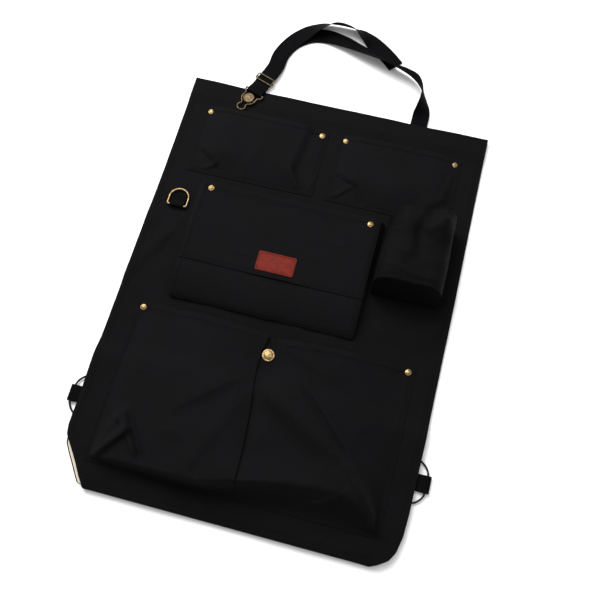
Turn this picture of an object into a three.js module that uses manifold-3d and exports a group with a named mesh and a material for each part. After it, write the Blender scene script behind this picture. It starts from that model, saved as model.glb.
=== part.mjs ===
// A black canvas hanging organiser apron, lying flat on its back: a lined panel with a turned-under
// bottom, five kinds of pocket, a D-ring, side loops with an elastic cord, and an adjustable strap that
// hooks on a button with a wire clip. Millimetres. +X across, +Y toward the top hem, +Z up out of the
// front. The origin is on the back face, in the middle of the panel's visible length.
import * as THREE from "three";
import { mergeVertices } from "three/addons/utils/BufferGeometryUtils.js";
import Module from "manifold-3d";

const wasm = await Module();
wasm.setup();

// ---- driving dimensions -------------------------------------------------------------------------
const PANEL_WIDTH = 450;
const PANEL_LENGTH = 624;
const FLAP_LENGTH = 76;
const CANVAS = 1.0;
const POCKET_CLOTH = 0.8;
const GAP = 0.3;
const LINING_INSET = 3;
const HEM_LENGTH = 32;
const FACING = 0.8;
const CORD_ROOM = 5.0;
const LIFT_BELOW_SNAP = 24;
const LIFT_RUN = 32;
const SIDE_MARGIN = 31;
const LEFT_CORNER = [44, 62];
const LEFT_FLAP_CORNER = [36, 50];
const RIGHT_CORNER = [38, 66];

const UPPER_POCKET_DROP = 42;
const UPPER_POCKET_HEIGHT = 112;
const UPPER_POCKET_PUFF = 12;
const UPPER_LEFT_WIDTH = 190;
const UPPER_RIGHT_WIDTH = 180;
const FLANGE = 15;
const BOTTOM_FLANGE = 8;
const WALL_RUN = 6;

const MIDDLE_LEFT_MARGIN = 68;
const MIDDLE_TO_BOTTLE = 9;
const MIDDLE_DROP = 18;
const MIDDLE_HEIGHT = 176;
const MIDDLE_DEPTH = 15;
const MIDDLE_BAND_HEIGHT = 54;
const SEAM_LAP = 12;
const GUSSET_CLOTH = 1.2;
const MIDDLE_RIVET_INSET_X = 14;
const MIDDLE_RIVET_INSET_Y = 11;

const LABEL_SIZE = [54, 28.6];
const LABEL_OFF_CENTRE = 3.5;
const LABEL_ABOVE_SEAM = 21.5;
const LABEL_THICKNESS = 1.5;
const LABEL_CORNER = 2.5;

const BOTTLE_MARGIN = 21;
const BOTTLE_WIDTH = 92;
const BOTTLE_DROP = 1.5;
const BOTTLE_HEIGHT = 120.5;
const BOTTLE_DEPTH = 56;
const BOTTLE_CLOTH = 1.2;
const BOTTLE_CORNER = 18;
const BOTTLE_FOOT = 12;

const BOTTOM_POCKET_DROP = 16;
const BOTTOM_STRIP = 34;
const BOTTOM_MOUTH_PUFF = 12;
const BOTTOM_FULL_PUFF = 38;
const PLEAT_HALF_WIDTH = 22;
const PLEAT_SNAP_PUFF = 5.5;
const PLEAT_LOW_RUN = 56;
const PLEAT_RAMP = 64;
const SNAP_BELOW_MOUTH = 34;

const RIVET_INSET = 9;
const RIVET_RADIUS = 4.6;
const RIVET_DOME = 1.9;
const RIVET_STEM = 0.9;
const RIVET_TUBE = 1.7;
const RIVET_BACK_RADIUS = 4.4;
const DISC = 0.7;
const RIVET_SEAT = 0.4;
const FASTENER_SIDES = 12;
const CAP_SIDES = 16;
const HOLE_REACH = 60;

const SNAP_CAP_RADIUS = 8.6;
const SNAP_CAP_DOME = 2.6;
const SNAP_STEM = 1.3;
const SNAP_BODY_RADIUS = 5.2;
const SNAP_FLANGE = 1.0;
const SNAP_NIPPLE_RADIUS = 2.3;
const SNAP_NIPPLE_RISE = 3.6;

const WEBBING_WIDTH = 25;
const WEBBING = 1.3;
const STRAP_LEAN = THREE.MathUtils.degToRad(20);
const CLIP_LEAN = THREE.MathUtils.degToRad(25);
const CLIP_MARGIN = 95;
const CLIP_BAR_DROP = 4.5;
const CLIP_WIRE = 1.1;
const CLIP_PLAY = 0.4;
const CLIP_BAR_SPARE = 3;
const BUTTON_BELOW_BAR = 14.3;
const BUTTON_RADIUS = 8.6;
const BUTTON_HEAD = 2.4;
const BUTTON_SHANK = 3.5;
const BUTTON_STEM = 1.0;
const TACK_RADIUS = 4.5;
const STRAIGHT_RUN = 44;
const SLIDER_FROM_BAR = 26.5;
const SLIDER_HALF_LENGTH = 5;
const SLIDER_WIRE = 1.0;
const SLIDER_SPARE = 0.5;
const STRAP_FOLD_RISE = 8;
const STRAP_FOLD_GAP = 0.7;
const STRAP_BASE_MARGIN = 104;

const D_RING_MARGIN = 37;
const D_RING_DROP = 42;
const D_RING_WIRE = 1.4;
const D_RING_HALF_WIDTH = 14;
const D_RING_ARM = 12;
const D_RING_PLAY = 0.5;
const D_TAB_WIDTH = 20;
const D_TAB_LENGTH = 18;
const D_TAB_CLOTH = 1.0;

const SIDE_TAB_BELOW_LIFT = 56;
const SIDE_TAB_WIDTH = 22;
const SIDE_TAB_REACH = 15;
const SIDE_TAB_ROOT = 13;
const SIDE_TAB_CLOTH = 0.8;
const CORD_RADIUS = 1.3;
const CRIMP_LENGTH = 14;
const CRIMP_RADIUS = 2.3;
const CRIMP_CENTRE = new THREE.Vector3(0, -222, 2.5);

// ---- levels worked out from the sizes above -----------------------------------------------------
const half = PANEL_WIDTH / 2;
const TOP_Y = PANEL_LENGTH / 2;
const FOLD_Y = -PANEL_LENGTH / 2;
const UPPER_POCKET_TOP = TOP_Y - UPPER_POCKET_DROP;
const UPPER_POCKET_BOTTOM = UPPER_POCKET_TOP - UPPER_POCKET_HEIGHT;
const UPPER_LEFT_X = [-half + SIDE_MARGIN, -half + SIDE_MARGIN + UPPER_LEFT_WIDTH];
const UPPER_RIGHT_X = [half - SIDE_MARGIN - UPPER_RIGHT_WIDTH, half - SIDE_MARGIN];
const BOTTLE_X = [half - BOTTLE_MARGIN - BOTTLE_WIDTH, half - BOTTLE_MARGIN];
const BOTTLE_TOP = UPPER_POCKET_BOTTOM - BOTTLE_DROP;
const BOTTLE_Y = [BOTTLE_TOP - BOTTLE_HEIGHT, BOTTLE_TOP];
const MIDDLE_X = [-half + MIDDLE_LEFT_MARGIN, BOTTLE_X[0] - MIDDLE_TO_BOTTLE];
const MIDDLE_TOP = UPPER_POCKET_BOTTOM - MIDDLE_DROP;
const MIDDLE_BOTTOM = MIDDLE_TOP - MIDDLE_HEIGHT;
const MIDDLE_SEAM = MIDDLE_BOTTOM + MIDDLE_BAND_HEIGHT;
const LABEL_CENTRE_X = (MIDDLE_X[0] + MIDDLE_X[1]) / 2 + LABEL_OFF_CENTRE;
const BOTTOM_POCKET_HALF_WIDTH = half - SIDE_MARGIN;
const BOTTOM_POCKET_MOUTH = MIDDLE_BOTTOM - BOTTOM_POCKET_DROP;
const BOTTOM_POCKET_END = FOLD_Y + BOTTOM_STRIP;
const SNAP_Y = BOTTOM_POCKET_MOUTH - SNAP_BELOW_MOUTH;
const PLEAT_LOW_END = BOTTOM_POCKET_MOUTH - PLEAT_LOW_RUN;
const PLEAT_HIGH_START = PLEAT_LOW_END - PLEAT_RAMP;
const LIFT_START_Y = SNAP_Y - LIFT_BELOW_SNAP;
const LIFT_END_Y = LIFT_START_Y - LIFT_RUN;
const SIDE_TAB_Y = LIFT_END_Y - SIDE_TAB_BELOW_LIFT;
const D_RING_X = -half + D_RING_MARGIN;
const D_RING_BAR_Y = MIDDLE_TOP - D_RING_DROP;
const CLIP_BAR_CENTRE = new THREE.Vector2(-half + CLIP_MARGIN, TOP_Y - CLIP_BAR_DROP);
const CLIP_BAR_HALF = WEBBING_WIDTH / 2 + CLIP_BAR_SPARE;
const SLIDER_HALF_WIDTH = WEBBING_WIDTH / 2 + SLIDER_SPARE + SLIDER_WIRE;
const STRAP_BASE_X = half - STRAP_BASE_MARGIN;
const STRAP_FOLD_Y = TOP_Y + STRAP_FOLD_RISE;
const LINING_Z = CANVAS / 2;
const FRONT_Z = CANVAS * 1.5 + GAP;
const PANEL_TOP = FRONT_Z + CANVAS / 2;
const HEM_STRAP_Z = FACING + GAP + WEBBING / 2;
const HEM_FRONT_Z = HEM_STRAP_Z + WEBBING / 2 + GAP + CANVAS / 2 + 0.1;
const HEM_TOP = HEM_FRONT_Z + CANVAS / 2;
const POCKET_Z = PANEL_TOP + GAP;
const HEM_BOTTOM_Y = TOP_Y - HEM_LENGTH;

const STRAP_UP = new THREE.Vector2(Math.sin(STRAP_LEAN), Math.cos(STRAP_LEAN));
const CLIP_DOWN = new THREE.Vector2(-Math.sin(CLIP_LEAN), -Math.cos(CLIP_LEAN));
const STRAP_LOWER_Z = HEM_TOP + 0.6 + WEBBING / 2;
const STRAP_UPPER_Z = STRAP_LOWER_Z + WEBBING + GAP;
const CLIP_Z = STRAP_LOWER_Z + WEBBING / 2 + GAP + 0.2 + CLIP_WIRE;
const BUTTON_CENTRE = CLIP_BAR_CENTRE.clone().addScaledVector(CLIP_DOWN, BUTTON_BELOW_BAR);
const MIDDLE_GUSSET_TOP = POCKET_Z + MIDDLE_DEPTH;
const MIDDLE_BAND_Z = MIDDLE_GUSSET_TOP + GAP;
const MIDDLE_FRONT_Z = MIDDLE_BAND_Z + CANVAS + GAP;

// ---- materials ----------------------------------------------------------------------------------
function material(color, roughness, metalness) {
  return new THREE.MeshStandardMaterial({ color, roughness, metalness });
}
const canvas = () => material(0x18181c, 0.9, 0);
const webbing = () => material(0x1b1b20, 0.85, 0);
const beige = () => material(0xd8c7ae, 0.9, 0);
const leather = () => material(0x8a3a2e, 0.6, 0);
const brass = () => material(0xa98a4f, 0.35, 1);
const elastic = () => material(0x141416, 0.7, 0);

// ---- building helpers ---------------------------------------------------------------------------
const apron = new THREE.Group();

function add(name, geometry, finish) {
  const mesh = new THREE.Mesh(geometry, finish);
  mesh.name = name;
  apron.add(mesh);
  return mesh;
}

function toSolid(geometry) {
  const bare = geometry.clone();
  bare.deleteAttribute("normal");
  bare.deleteAttribute("uv");
  const merged = mergeVertices(bare, 1e-4);
  const vertProperties = new Float32Array(merged.attributes.position.array);
  const triVerts = new Uint32Array(merged.index.array);
  return new wasm.Manifold(new wasm.Mesh({ numProp: 3, vertProperties, triVerts }));
}

function toGeometry(solid) {
  const mesh = solid.getMesh();
  const geometry = new THREE.BufferGeometry();
  geometry.setAttribute("position", new THREE.BufferAttribute(new Float32Array(mesh.vertProperties), 3));
  geometry.setIndex(new THREE.BufferAttribute(new Uint32Array(mesh.triVerts), 1));
  geometry.computeVertexNormals();
  return geometry;
}

function cut(geometry, tools) {
  let solid = toSolid(geometry);
  for (const tool of tools) solid = solid.subtract(toSolid(tool));
  return toGeometry(solid);
}

function join(geometries) {
  let solid = toSolid(geometries[0]);
  for (const other of geometries.slice(1)) solid = solid.add(toSolid(other));
  return toGeometry(solid);
}

function keep(geometry, tool) {
  return toGeometry(toSolid(geometry).intersect(toSolid(tool)));
}

function box(low, high) {
  const size = new THREE.Vector3().subVectors(high, low);
  const centre = new THREE.Vector3().addVectors(low, high).multiplyScalar(0.5);
  return new THREE.BoxGeometry(size.x, size.y, size.z).translate(centre.x, centre.y, centre.z);
}

// A round bar between two points.
function rod(from, to, radius, sides = 10) {
  const along = new THREE.Vector3().subVectors(to, from);
  const middle = new THREE.Vector3().addVectors(from, to).multiplyScalar(0.5);
  const axis = along.clone().normalize();
  const turn = new THREE.Quaternion().setFromUnitVectors(new THREE.Vector3(0, 1, 0), axis);
  const shape = new THREE.CylinderGeometry(radius, radius, along.length(), sides);
  return shape.applyQuaternion(turn).translate(middle.x, middle.y, middle.z);
}

function hole(x, y, radius) {
  const from = new THREE.Vector3(x, y, -HOLE_REACH);
  const to = new THREE.Vector3(x, y, HOLE_REACH);
  return rod(from, to, radius, FASTENER_SIDES);
}

// A turned piece about a vertical axis; profile points are [radius, height], upward, from axis to axis.
function turned(profile, x, y, sides = FASTENER_SIDES) {
  const points = profile.map(([radius, height]) => new THREE.Vector2(radius, height));
  const lathe = new THREE.LatheGeometry(points, sides);
  return lathe.rotateX(Math.PI / 2).translate(x, y, 0);
}

// The outline of a strip of even thickness that follows a 2-D path.
function stripShape(path, thickness) {
  const left = [];
  const right = [];
  path.forEach((point, i) => {
    const before = path[Math.max(i - 1, 0)];
    const after = path[Math.min(i + 1, path.length - 1)];
    const into = i > 0 ? point.clone().sub(before).normalize() : after.clone().sub(point).normalize();
    const out = i < path.length - 1 ? after.clone().sub(point).normalize() : into.clone();
    const bisector = into.clone().add(out).normalize();
    const normal = new THREE.Vector2(-bisector.y, bisector.x);
    const stretch = thickness / 2 / Math.max(0.3, normal.dot(new THREE.Vector2(-into.y, into.x)));
    left.push(point.clone().addScaledVector(normal, stretch));
    right.push(point.clone().addScaledVector(normal, -stretch));
  });
  return new THREE.Shape([...left, ...right.reverse()]);
}

function arcPoints(centre, radius, fromDegrees, toDegrees, steps) {
  const points = [];
  for (let i = 0; i <= steps; i++) {
    const angle = THREE.MathUtils.degToRad(fromDegrees + ((toDegrees - fromDegrees) * i) / steps);
    points.push(new THREE.Vector2(centre.x + radius * Math.cos(angle), centre.y + radius * Math.sin(angle)));
  }
  return points;
}

const v2 = (a, b) => new THREE.Vector2(a, b);
const v3 = (x, y, z) => new THREE.Vector3(x, y, z);

// Extrudes a (Y, Z) outline across X.
function alongX(shape, xFrom, xTo) {
  const geometry = new THREE.ExtrudeGeometry(shape, { depth: xTo - xFrom, bevelEnabled: false });
  const basis = new THREE.Matrix4().makeBasis(v3(0, 1, 0), v3(0, 0, 1), v3(1, 0, 0));
  return geometry.applyMatrix4(basis).translate(xFrom, 0, 0);
}

// Extrudes an (X, Z) outline along Y.
function alongY(shape, yFrom, yTo) {
  const geometry = new THREE.ExtrudeGeometry(shape, { depth: yTo - yFrom, bevelEnabled: false });
  const basis = new THREE.Matrix4().makeBasis(v3(1, 0, 0), v3(0, 0, 1), v3(0, -1, 0));
  return geometry.applyMatrix4(basis).translate(0, yTo, 0);
}

// Extrudes an (X, Y) outline upward.
function alongZ(shape, zFrom, zTo) {
  const geometry = new THREE.ExtrudeGeometry(shape, { depth: zTo - zFrom, bevelEnabled: false });
  return geometry.translate(0, 0, zFrom);
}

// A closed mesh from rings of equal point counts, capped at both ends.
function skin(rings) {
  const count = rings[0].length;
  const positions = rings.flat().flatMap((p) => [p.x, p.y, p.z]);
  const index = [];
  for (let i = 0; i < rings.length - 1; i++) {
    for (let k = 0; k < count; k++) {
      const a = i * count + k;
      const b = i * count + ((k + 1) % count);
      index.push(a, b, a + count, b, b + count, a + count);
    }
  }
  const last = (rings.length - 1) * count;
  for (let k = 1; k < count - 1; k++) {
    index.push(0, k + 1, k);
    index.push(last, last + k, last + k + 1);
  }
  const geometry = new THREE.BufferGeometry();
  geometry.setAttribute("position", new THREE.Float32BufferAttribute(positions, 3));
  geometry.setIndex(index);
  geometry.computeVertexNormals();
  return geometry;
}

// A sheet of cloth over a grid, its underside at bottomAt(x, y).
function relief(xs, ys, thickness, bottomAt) {
  const rings = ys.map((y) => {
    const under = xs.map((x) => v3(x, y, bottomAt(x, y)));
    const over = xs.map((x) => v3(x, y, bottomAt(x, y) + thickness));
    return { under, over };
  });
  const positions = [];
  const nx = xs.length;
  rings.forEach((ring) => [...ring.under, ...ring.over].forEach((p) => positions.push(p.x, p.y, p.z)));
  const at = (row, column, top) => row * 2 * nx + (top ? nx : 0) + column;
  const index = [];
  const quad = (a, b, c, d) => index.push(a, b, c, a, c, d);
  for (let r = 0; r < ys.length - 1; r++) {
    for (let c = 0; c < nx - 1; c++) {
      quad(at(r, c, true), at(r, c + 1, true), at(r + 1, c + 1, true), at(r + 1, c, true));
      quad(at(r, c, false), at(r + 1, c, false), at(r + 1, c + 1, false), at(r, c + 1, false));
    }
    quad(at(r, 0, false), at(r, 0, true), at(r + 1, 0, true), at(r + 1, 0, false));
    quad(at(r, nx - 1, false), at(r + 1, nx - 1, false), at(r + 1, nx - 1, true), at(r, nx - 1, true));
  }
  const end = ys.length - 1;
  for (let c = 0; c < nx - 1; c++) {
    quad(at(0, c, false), at(0, c + 1, false), at(0, c + 1, true), at(0, c, true));
    quad(at(end, c, false), at(end, c, true), at(end, c + 1, true), at(end, c + 1, false));
  }
  const geometry = new THREE.BufferGeometry();
  geometry.setAttribute("position", new THREE.Float32BufferAttribute(positions, 3));
  geometry.setIndex(index);
  geometry.computeVertexNormals();
  return geometry;
}

// How far the panel is lifted at y, where the elastic cord and the turned-under flap lie below it.
function liftAt(y) {
  if (y >= LIFT_START_Y) return 0;
  if (y <= LIFT_END_Y) return CORD_ROOM;
  return (CORD_ROOM * (LIFT_START_Y - y)) / (LIFT_START_Y - LIFT_END_Y);
}

// ---- fasteners through cloth --------------------------------------------------------------------
const panelHoles = [];
const liningHoles = [];
const upperLeftHoles = [];
const upperRightHoles = [];
const bottomLeftHoles = [];
const bottomRightHoles = [];
const middleFrontHoles = [];

// A two-part rivet: a tubular back under the cloth and a domed cap whose stem is set in the tube.
function rivet(number, x, y, backZ, capZ, holeLists) {
  const tubeTop = capZ - 0.2;
  const tubeInside = RIVET_STEM + GAP;
  const backTop = backZ + DISC;
  const seat = backZ + RIVET_SEAT;
  const back = [[0, backZ], [RIVET_BACK_RADIUS, backZ], [RIVET_BACK_RADIUS, backTop],
    [RIVET_TUBE, backTop], [RIVET_TUBE, tubeTop], [tubeInside, tubeTop], [tubeInside, seat], [0, seat]];
  const cap = [[0, seat + GAP], [RIVET_STEM, seat + GAP], [RIVET_STEM, capZ],
    [RIVET_RADIUS, capZ], [RIVET_RADIUS, capZ + 0.6], [RIVET_RADIUS * 0.78, capZ + RIVET_DOME * 0.75],
    [RIVET_RADIUS * 0.4, capZ + RIVET_DOME * 0.97], [0, capZ + RIVET_DOME]];
  add(`rivet_back_${number}`, turned(back, x, y), brass());
  add(`rivet_cap_${number}`, turned(cap, x, y), brass());
  for (const holes of holeLists) holes.push(hole(x, y, RIVET_TUBE + GAP));
}

// Rivets of the pockets that lie on the panel go through the pocket, the front and the lining.
function panelRivet(number, x, y, pocketHoles) {
  rivet(number, x, y, 0, POCKET_Z + POCKET_CLOTH + GAP, [pocketHoles, panelHoles]);
  liningHoles.push(hole(x, y, RIVET_BACK_RADIUS + GAP));
}

const UPPER_RIVET_Y = UPPER_POCKET_TOP - RIVET_INSET - 1;
panelRivet(1, UPPER_LEFT_X[0] + RIVET_INSET, UPPER_RIVET_Y, upperLeftHoles);
panelRivet(2, UPPER_LEFT_X[1] - RIVET_INSET, UPPER_RIVET_Y, upperLeftHoles);
panelRivet(3, UPPER_RIGHT_X[0] + RIVET_INSET, UPPER_RIVET_Y, upperRightHoles);
panelRivet(4, UPPER_RIGHT_X[1] - RIVET_INSET, UPPER_RIVET_Y, upperRightHoles);
const BOTTOM_RIVET_X = BOTTOM_POCKET_HALF_WIDTH - RIVET_INSET;
panelRivet(5, -BOTTOM_RIVET_X, BOTTOM_POCKET_MOUTH - RIVET_INSET, bottomLeftHoles);
panelRivet(6, BOTTOM_RIVET_X, BOTTOM_POCKET_MOUTH - RIVET_INSET, bottomRightHoles);
function middleRivet(number, x) {
  const y = MIDDLE_TOP - MIDDLE_RIVET_INSET_Y;
  rivet(number, x, y, MIDDLE_FRONT_Z - GAP - DISC, MIDDLE_FRONT_Z + CANVAS + GAP, [middleFrontHoles]);
}
middleRivet(7, MIDDLE_X[0] + MIDDLE_RIVET_INSET_X);
middleRivet(8, MIDDLE_X[1] - MIDDLE_RIVET_INSET_X);

// The press snap: post and stud on the panel, cap and socket on the pleat.
const PLEAT_Z = POCKET_Z + PLEAT_SNAP_PUFF;
const SNAP_STUD_TOP = POCKET_Z + SNAP_NIPPLE_RISE;
const SOCKET_TOP = PLEAT_Z - GAP;
const STUD_FLANGE_TOP = POCKET_Z + SNAP_FLANGE;
const SOCKET_BOTTOM = STUD_FLANGE_TOP + GAP;
const SNAP_POST_TOP = STUD_FLANGE_TOP + SNAP_FLANGE * 0.4;
const stemSeat = SNAP_STEM + GAP;
add("snap_post", turned([[0, 0], [SNAP_BODY_RADIUS, 0], [SNAP_BODY_RADIUS, DISC], [SNAP_STEM, DISC],
  [SNAP_STEM, SNAP_POST_TOP], [0, SNAP_POST_TOP]], 0, SNAP_Y), brass());
add("snap_stud", turned([[0, SNAP_POST_TOP + GAP], [stemSeat, SNAP_POST_TOP + GAP], [stemSeat, POCKET_Z],
  [SNAP_BODY_RADIUS, POCKET_Z], [SNAP_BODY_RADIUS, STUD_FLANGE_TOP], [SNAP_NIPPLE_RADIUS, STUD_FLANGE_TOP],
  [SNAP_NIPPLE_RADIUS, SNAP_STUD_TOP - 0.4], [SNAP_NIPPLE_RADIUS - 0.4, SNAP_STUD_TOP],
  [0, SNAP_STUD_TOP]], 0, SNAP_Y), brass());
const socketRoof = SNAP_STUD_TOP + GAP;
add("snap_socket", turned([[0, socketRoof], [SNAP_NIPPLE_RADIUS + GAP, socketRoof],
  [SNAP_NIPPLE_RADIUS + GAP, SOCKET_BOTTOM], [SNAP_BODY_RADIUS, SOCKET_BOTTOM],
  [SNAP_BODY_RADIUS, SOCKET_TOP], [stemSeat, SOCKET_TOP], [stemSeat, SOCKET_TOP - 0.5],
  [0, SOCKET_TOP - 0.5]], 0, SNAP_Y), brass());
const SNAP_CAP_Z = PLEAT_Z + POCKET_CLOTH + GAP;
add("snap_cap", turned([[0, SOCKET_TOP - 0.2], [SNAP_STEM, SOCKET_TOP - 0.2], [SNAP_STEM, SNAP_CAP_Z],
  [SNAP_CAP_RADIUS, SNAP_CAP_Z], [SNAP_CAP_RADIUS, SNAP_CAP_Z + 0.8],
  [SNAP_CAP_RADIUS * 0.85, SNAP_CAP_Z + SNAP_CAP_DOME * 0.7],
  [SNAP_CAP_RADIUS * 0.5, SNAP_CAP_Z + SNAP_CAP_DOME * 0.95], [0, SNAP_CAP_Z + SNAP_CAP_DOME]],
0, SNAP_Y, CAP_SIDES), brass());
panelHoles.push(hole(0, SNAP_Y, SNAP_STEM + GAP));
liningHoles.push(hole(0, SNAP_Y, SNAP_BODY_RADIUS + GAP));

// The strap's button: a hollow head that turns on a tack driven through the hem.
const buttonFoot = HEM_TOP + GAP;
const buttonHeadZ = CLIP_Z;
add("button_tack", turned([[0, 0], [TACK_RADIUS, 0], [TACK_RADIUS, DISC], [BUTTON_STEM, DISC],
  [BUTTON_STEM, buttonHeadZ], [0, buttonHeadZ]], BUTTON_CENTRE.x, BUTTON_CENTRE.y), brass());
add("button_head", turned([[0, buttonHeadZ + GAP], [BUTTON_STEM + GAP, buttonHeadZ + GAP],
  [BUTTON_STEM + GAP, buttonFoot], [BUTTON_SHANK, buttonFoot], [BUTTON_SHANK, buttonHeadZ],
  [BUTTON_RADIUS, buttonHeadZ], [BUTTON_RADIUS, buttonHeadZ + BUTTON_HEAD * 0.7],
  [BUTTON_RADIUS * 0.85, buttonHeadZ + BUTTON_HEAD], [0, buttonHeadZ + BUTTON_HEAD]],
BUTTON_CENTRE.x, BUTTON_CENTRE.y, CAP_SIDES), brass());
panelHoles.push(hole(BUTTON_CENTRE.x, BUTTON_CENTRE.y, BUTTON_STEM + GAP));
const facingHoles = [hole(BUTTON_CENTRE.x, BUTTON_CENTRE.y, TACK_RADIUS + GAP)];

// ---- the panel: canvas front, beige lining, hem facing ------------------------------------------
// Both layers run down the panel, lift over the cord, go round the bottom fold and come back as a flap.
function foldedLayer(topPoints, restZ, layersBelow) {
  const liftedZ = restZ + CORD_ROOM;
  const flapZ = CANVAS / 2 + layersBelow * (CANVAS + GAP);
  const radius = (liftedZ - flapZ) / 2;
  const foldCentre = v2(FOLD_Y + (FRONT_Z + CORD_ROOM + CANVAS / 2) / 2, (liftedZ + flapZ) / 2);
  return [...topPoints, v2(LIFT_START_Y, restZ), v2(LIFT_END_Y, liftedZ),
    ...arcPoints(foldCentre, radius, 90, 270, 8), v2(FOLD_Y + FLAP_LENGTH, flapZ)];
}

// Corner pieces taken off where the turned-under bottom draws the corners in.
function cornerPrism(points, zFrom, zTo) {
  return alongZ(new THREE.Shape(points.map(([x, y]) => v2(x, y))), zFrom, zTo);
}
function leftCorner([width, height], zFrom, zTo) {
  return cornerPrism([[-half - OUT, FOLD_Y + height], [-half, FOLD_Y + height], [-half + width, FOLD_Y - 1],
    [-half + width, FOLD_Y - OUT], [-half - OUT, FOLD_Y - OUT]], zFrom, zTo);
}
function rightCorner([width, height], zFrom, zTo) {
  return cornerPrism([[half + OUT, FOLD_Y + height], [half + OUT, FOLD_Y - OUT], [half - width, FOLD_Y - OUT],
    [half - width, FOLD_Y - 1], [half - width * 0.37, FOLD_Y + height * 0.15],
    [half - width * 0.08, FOLD_Y + height * 0.52], [half, FOLD_Y + height]], zFrom, zTo);
}
const OUT = 20;
const flapTop = 2 * CANVAS + GAP + 0.5;
const lowerCorners = [
  leftCorner(LEFT_CORNER, flapTop, CORD_ROOM + OUT),
  leftCorner(LEFT_FLAP_CORNER, -1, flapTop),
  rightCorner(RIGHT_CORNER, -1, CORD_ROOM + OUT),
];

const frontPath = foldedLayer([v2(TOP_Y, HEM_FRONT_Z), v2(HEM_BOTTOM_Y + 2, HEM_FRONT_Z),
  v2(HEM_BOTTOM_Y - 8, FRONT_Z)], FRONT_Z, 0);
const frontPanel = alongX(stripShape(frontPath, CANVAS), -half, half);
add("front_panel", cut(frontPanel, [...panelHoles, ...lowerCorners]), canvas());

const liningPath = foldedLayer([v2(HEM_BOTTOM_Y - GAP, LINING_Z)], LINING_Z, 1);
const lining = alongX(stripShape(liningPath, CANVAS), -half + LINING_INSET, half - LINING_INSET);
add("back_lining", cut(lining, [...liningHoles, ...lowerCorners]), beige());

const facing = box(v3(-half + 2, HEM_BOTTOM_Y, 0), v3(half - 2, TOP_Y, FACING));
add("top_hem_facing", cut(facing, facingHoles), canvas());

// ---- upper pockets ------------------------------------------------------------------------------
function upperPocket(name, xRange, holes) {
  const [x0, x1] = xRange;
  const xs = [x0, x0 + FLANGE, x0 + FLANGE + WALL_RUN, x1 - FLANGE - WALL_RUN, x1 - FLANGE, x1];
  const y0 = UPPER_POCKET_BOTTOM;
  const ys = [y0, y0 + BOTTOM_FLANGE, y0 + BOTTOM_FLANGE + WALL_RUN, UPPER_POCKET_TOP];
  const bottomAt = (x, y) => {
    const raised = x > xs[1] && x < xs[4] && y > ys[1];
    return POCKET_Z + (raised ? UPPER_POCKET_PUFF : 0);
  };
  add(name, cut(relief(xs, ys, POCKET_CLOTH, bottomAt), holes), canvas());
}
upperPocket("upper_left_pocket", UPPER_LEFT_X, upperLeftHoles);
upperPocket("upper_right_pocket", UPPER_RIGHT_X, upperRightHoles);

// ---- middle pocket: a standing gusset, a lower band, a lapped front and a leather label -------------
const [mx0, mx1] = MIDDLE_X;
const gussetHalf = GUSSET_CLOTH / 2;
const gussetPath = [v2(mx0 + gussetHalf, MIDDLE_TOP), v2(mx0 + gussetHalf, MIDDLE_BOTTOM + gussetHalf),
  v2(mx1 - gussetHalf, MIDDLE_BOTTOM + gussetHalf), v2(mx1 - gussetHalf, MIDDLE_TOP)];
const gussetShape = stripShape(gussetPath, GUSSET_CLOTH);
add("middle_pocket_gusset", alongZ(gussetShape, POCKET_Z, MIDDLE_GUSSET_TOP), canvas());
add("middle_pocket_lower_band", box(v3(mx0, MIDDLE_BOTTOM, MIDDLE_BAND_Z),
  v3(mx1, MIDDLE_SEAM + SEAM_LAP, MIDDLE_BAND_Z + CANVAS)), canvas());
const middleFront = box(v3(mx0, MIDDLE_SEAM, MIDDLE_FRONT_Z), v3(mx1, MIDDLE_TOP, MIDDLE_FRONT_Z + CANVAS));
add("middle_pocket_front", cut(middleFront, middleFrontHoles), canvas());

const labelShape = new THREE.Shape();
const labelX = LABEL_CENTRE_X - LABEL_SIZE[0] / 2;
const labelY = MIDDLE_SEAM + LABEL_ABOVE_SEAM - LABEL_SIZE[1] / 2;
const cornersOfLabel = [[0, 0, 180], [1, 0, 270], [1, 1, 0], [0, 1, 90]];
const labelPoints = cornersOfLabel.flatMap(([right, top, start]) => {
  const cx = labelX + (right ? LABEL_SIZE[0] - LABEL_CORNER : LABEL_CORNER);
  const cy = labelY + (top ? LABEL_SIZE[1] - LABEL_CORNER : LABEL_CORNER);
  return arcPoints(v2(cx, cy), LABEL_CORNER, start, start + 90, 3);
});
labelShape.setFromPoints(labelPoints);
const labelZ = MIDDLE_FRONT_Z + CANVAS + GAP;
add("leather_label", alongZ(labelShape, labelZ, labelZ + LABEL_THICKNESS), leather());

// ---- bottle pocket: a D-shaped wall with turned-in feet and a base --------------------------------
const [bx0, bx1] = BOTTLE_X;
const footZ = POCKET_Z + BOTTLE_CLOTH / 2;
const bottleTopZ = footZ + BOTTLE_DEPTH;
const bottlePath = [v2(bx0 + BOTTLE_FOOT, footZ), v2(bx0, footZ),
  ...arcPoints(v2(bx0 + BOTTLE_CORNER, bottleTopZ - BOTTLE_CORNER), BOTTLE_CORNER, 180, 90, 5),
  ...arcPoints(v2(bx1 - BOTTLE_CORNER, bottleTopZ - BOTTLE_CORNER), BOTTLE_CORNER, 90, 0, 5),
  v2(bx1, footZ), v2(bx1 - BOTTLE_FOOT, footZ)];
add("bottle_pocket_wall", alongY(stripShape(bottlePath, BOTTLE_CLOTH), BOTTLE_Y[0], BOTTLE_Y[1]), canvas());
const basePath = bottlePath.slice(1, -1);
add("bottle_pocket_base", alongY(new THREE.Shape(basePath), BOTTLE_Y[0] - GAP - BOTTLE_CLOTH,
  BOTTLE_Y[0] - GAP), canvas());

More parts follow.
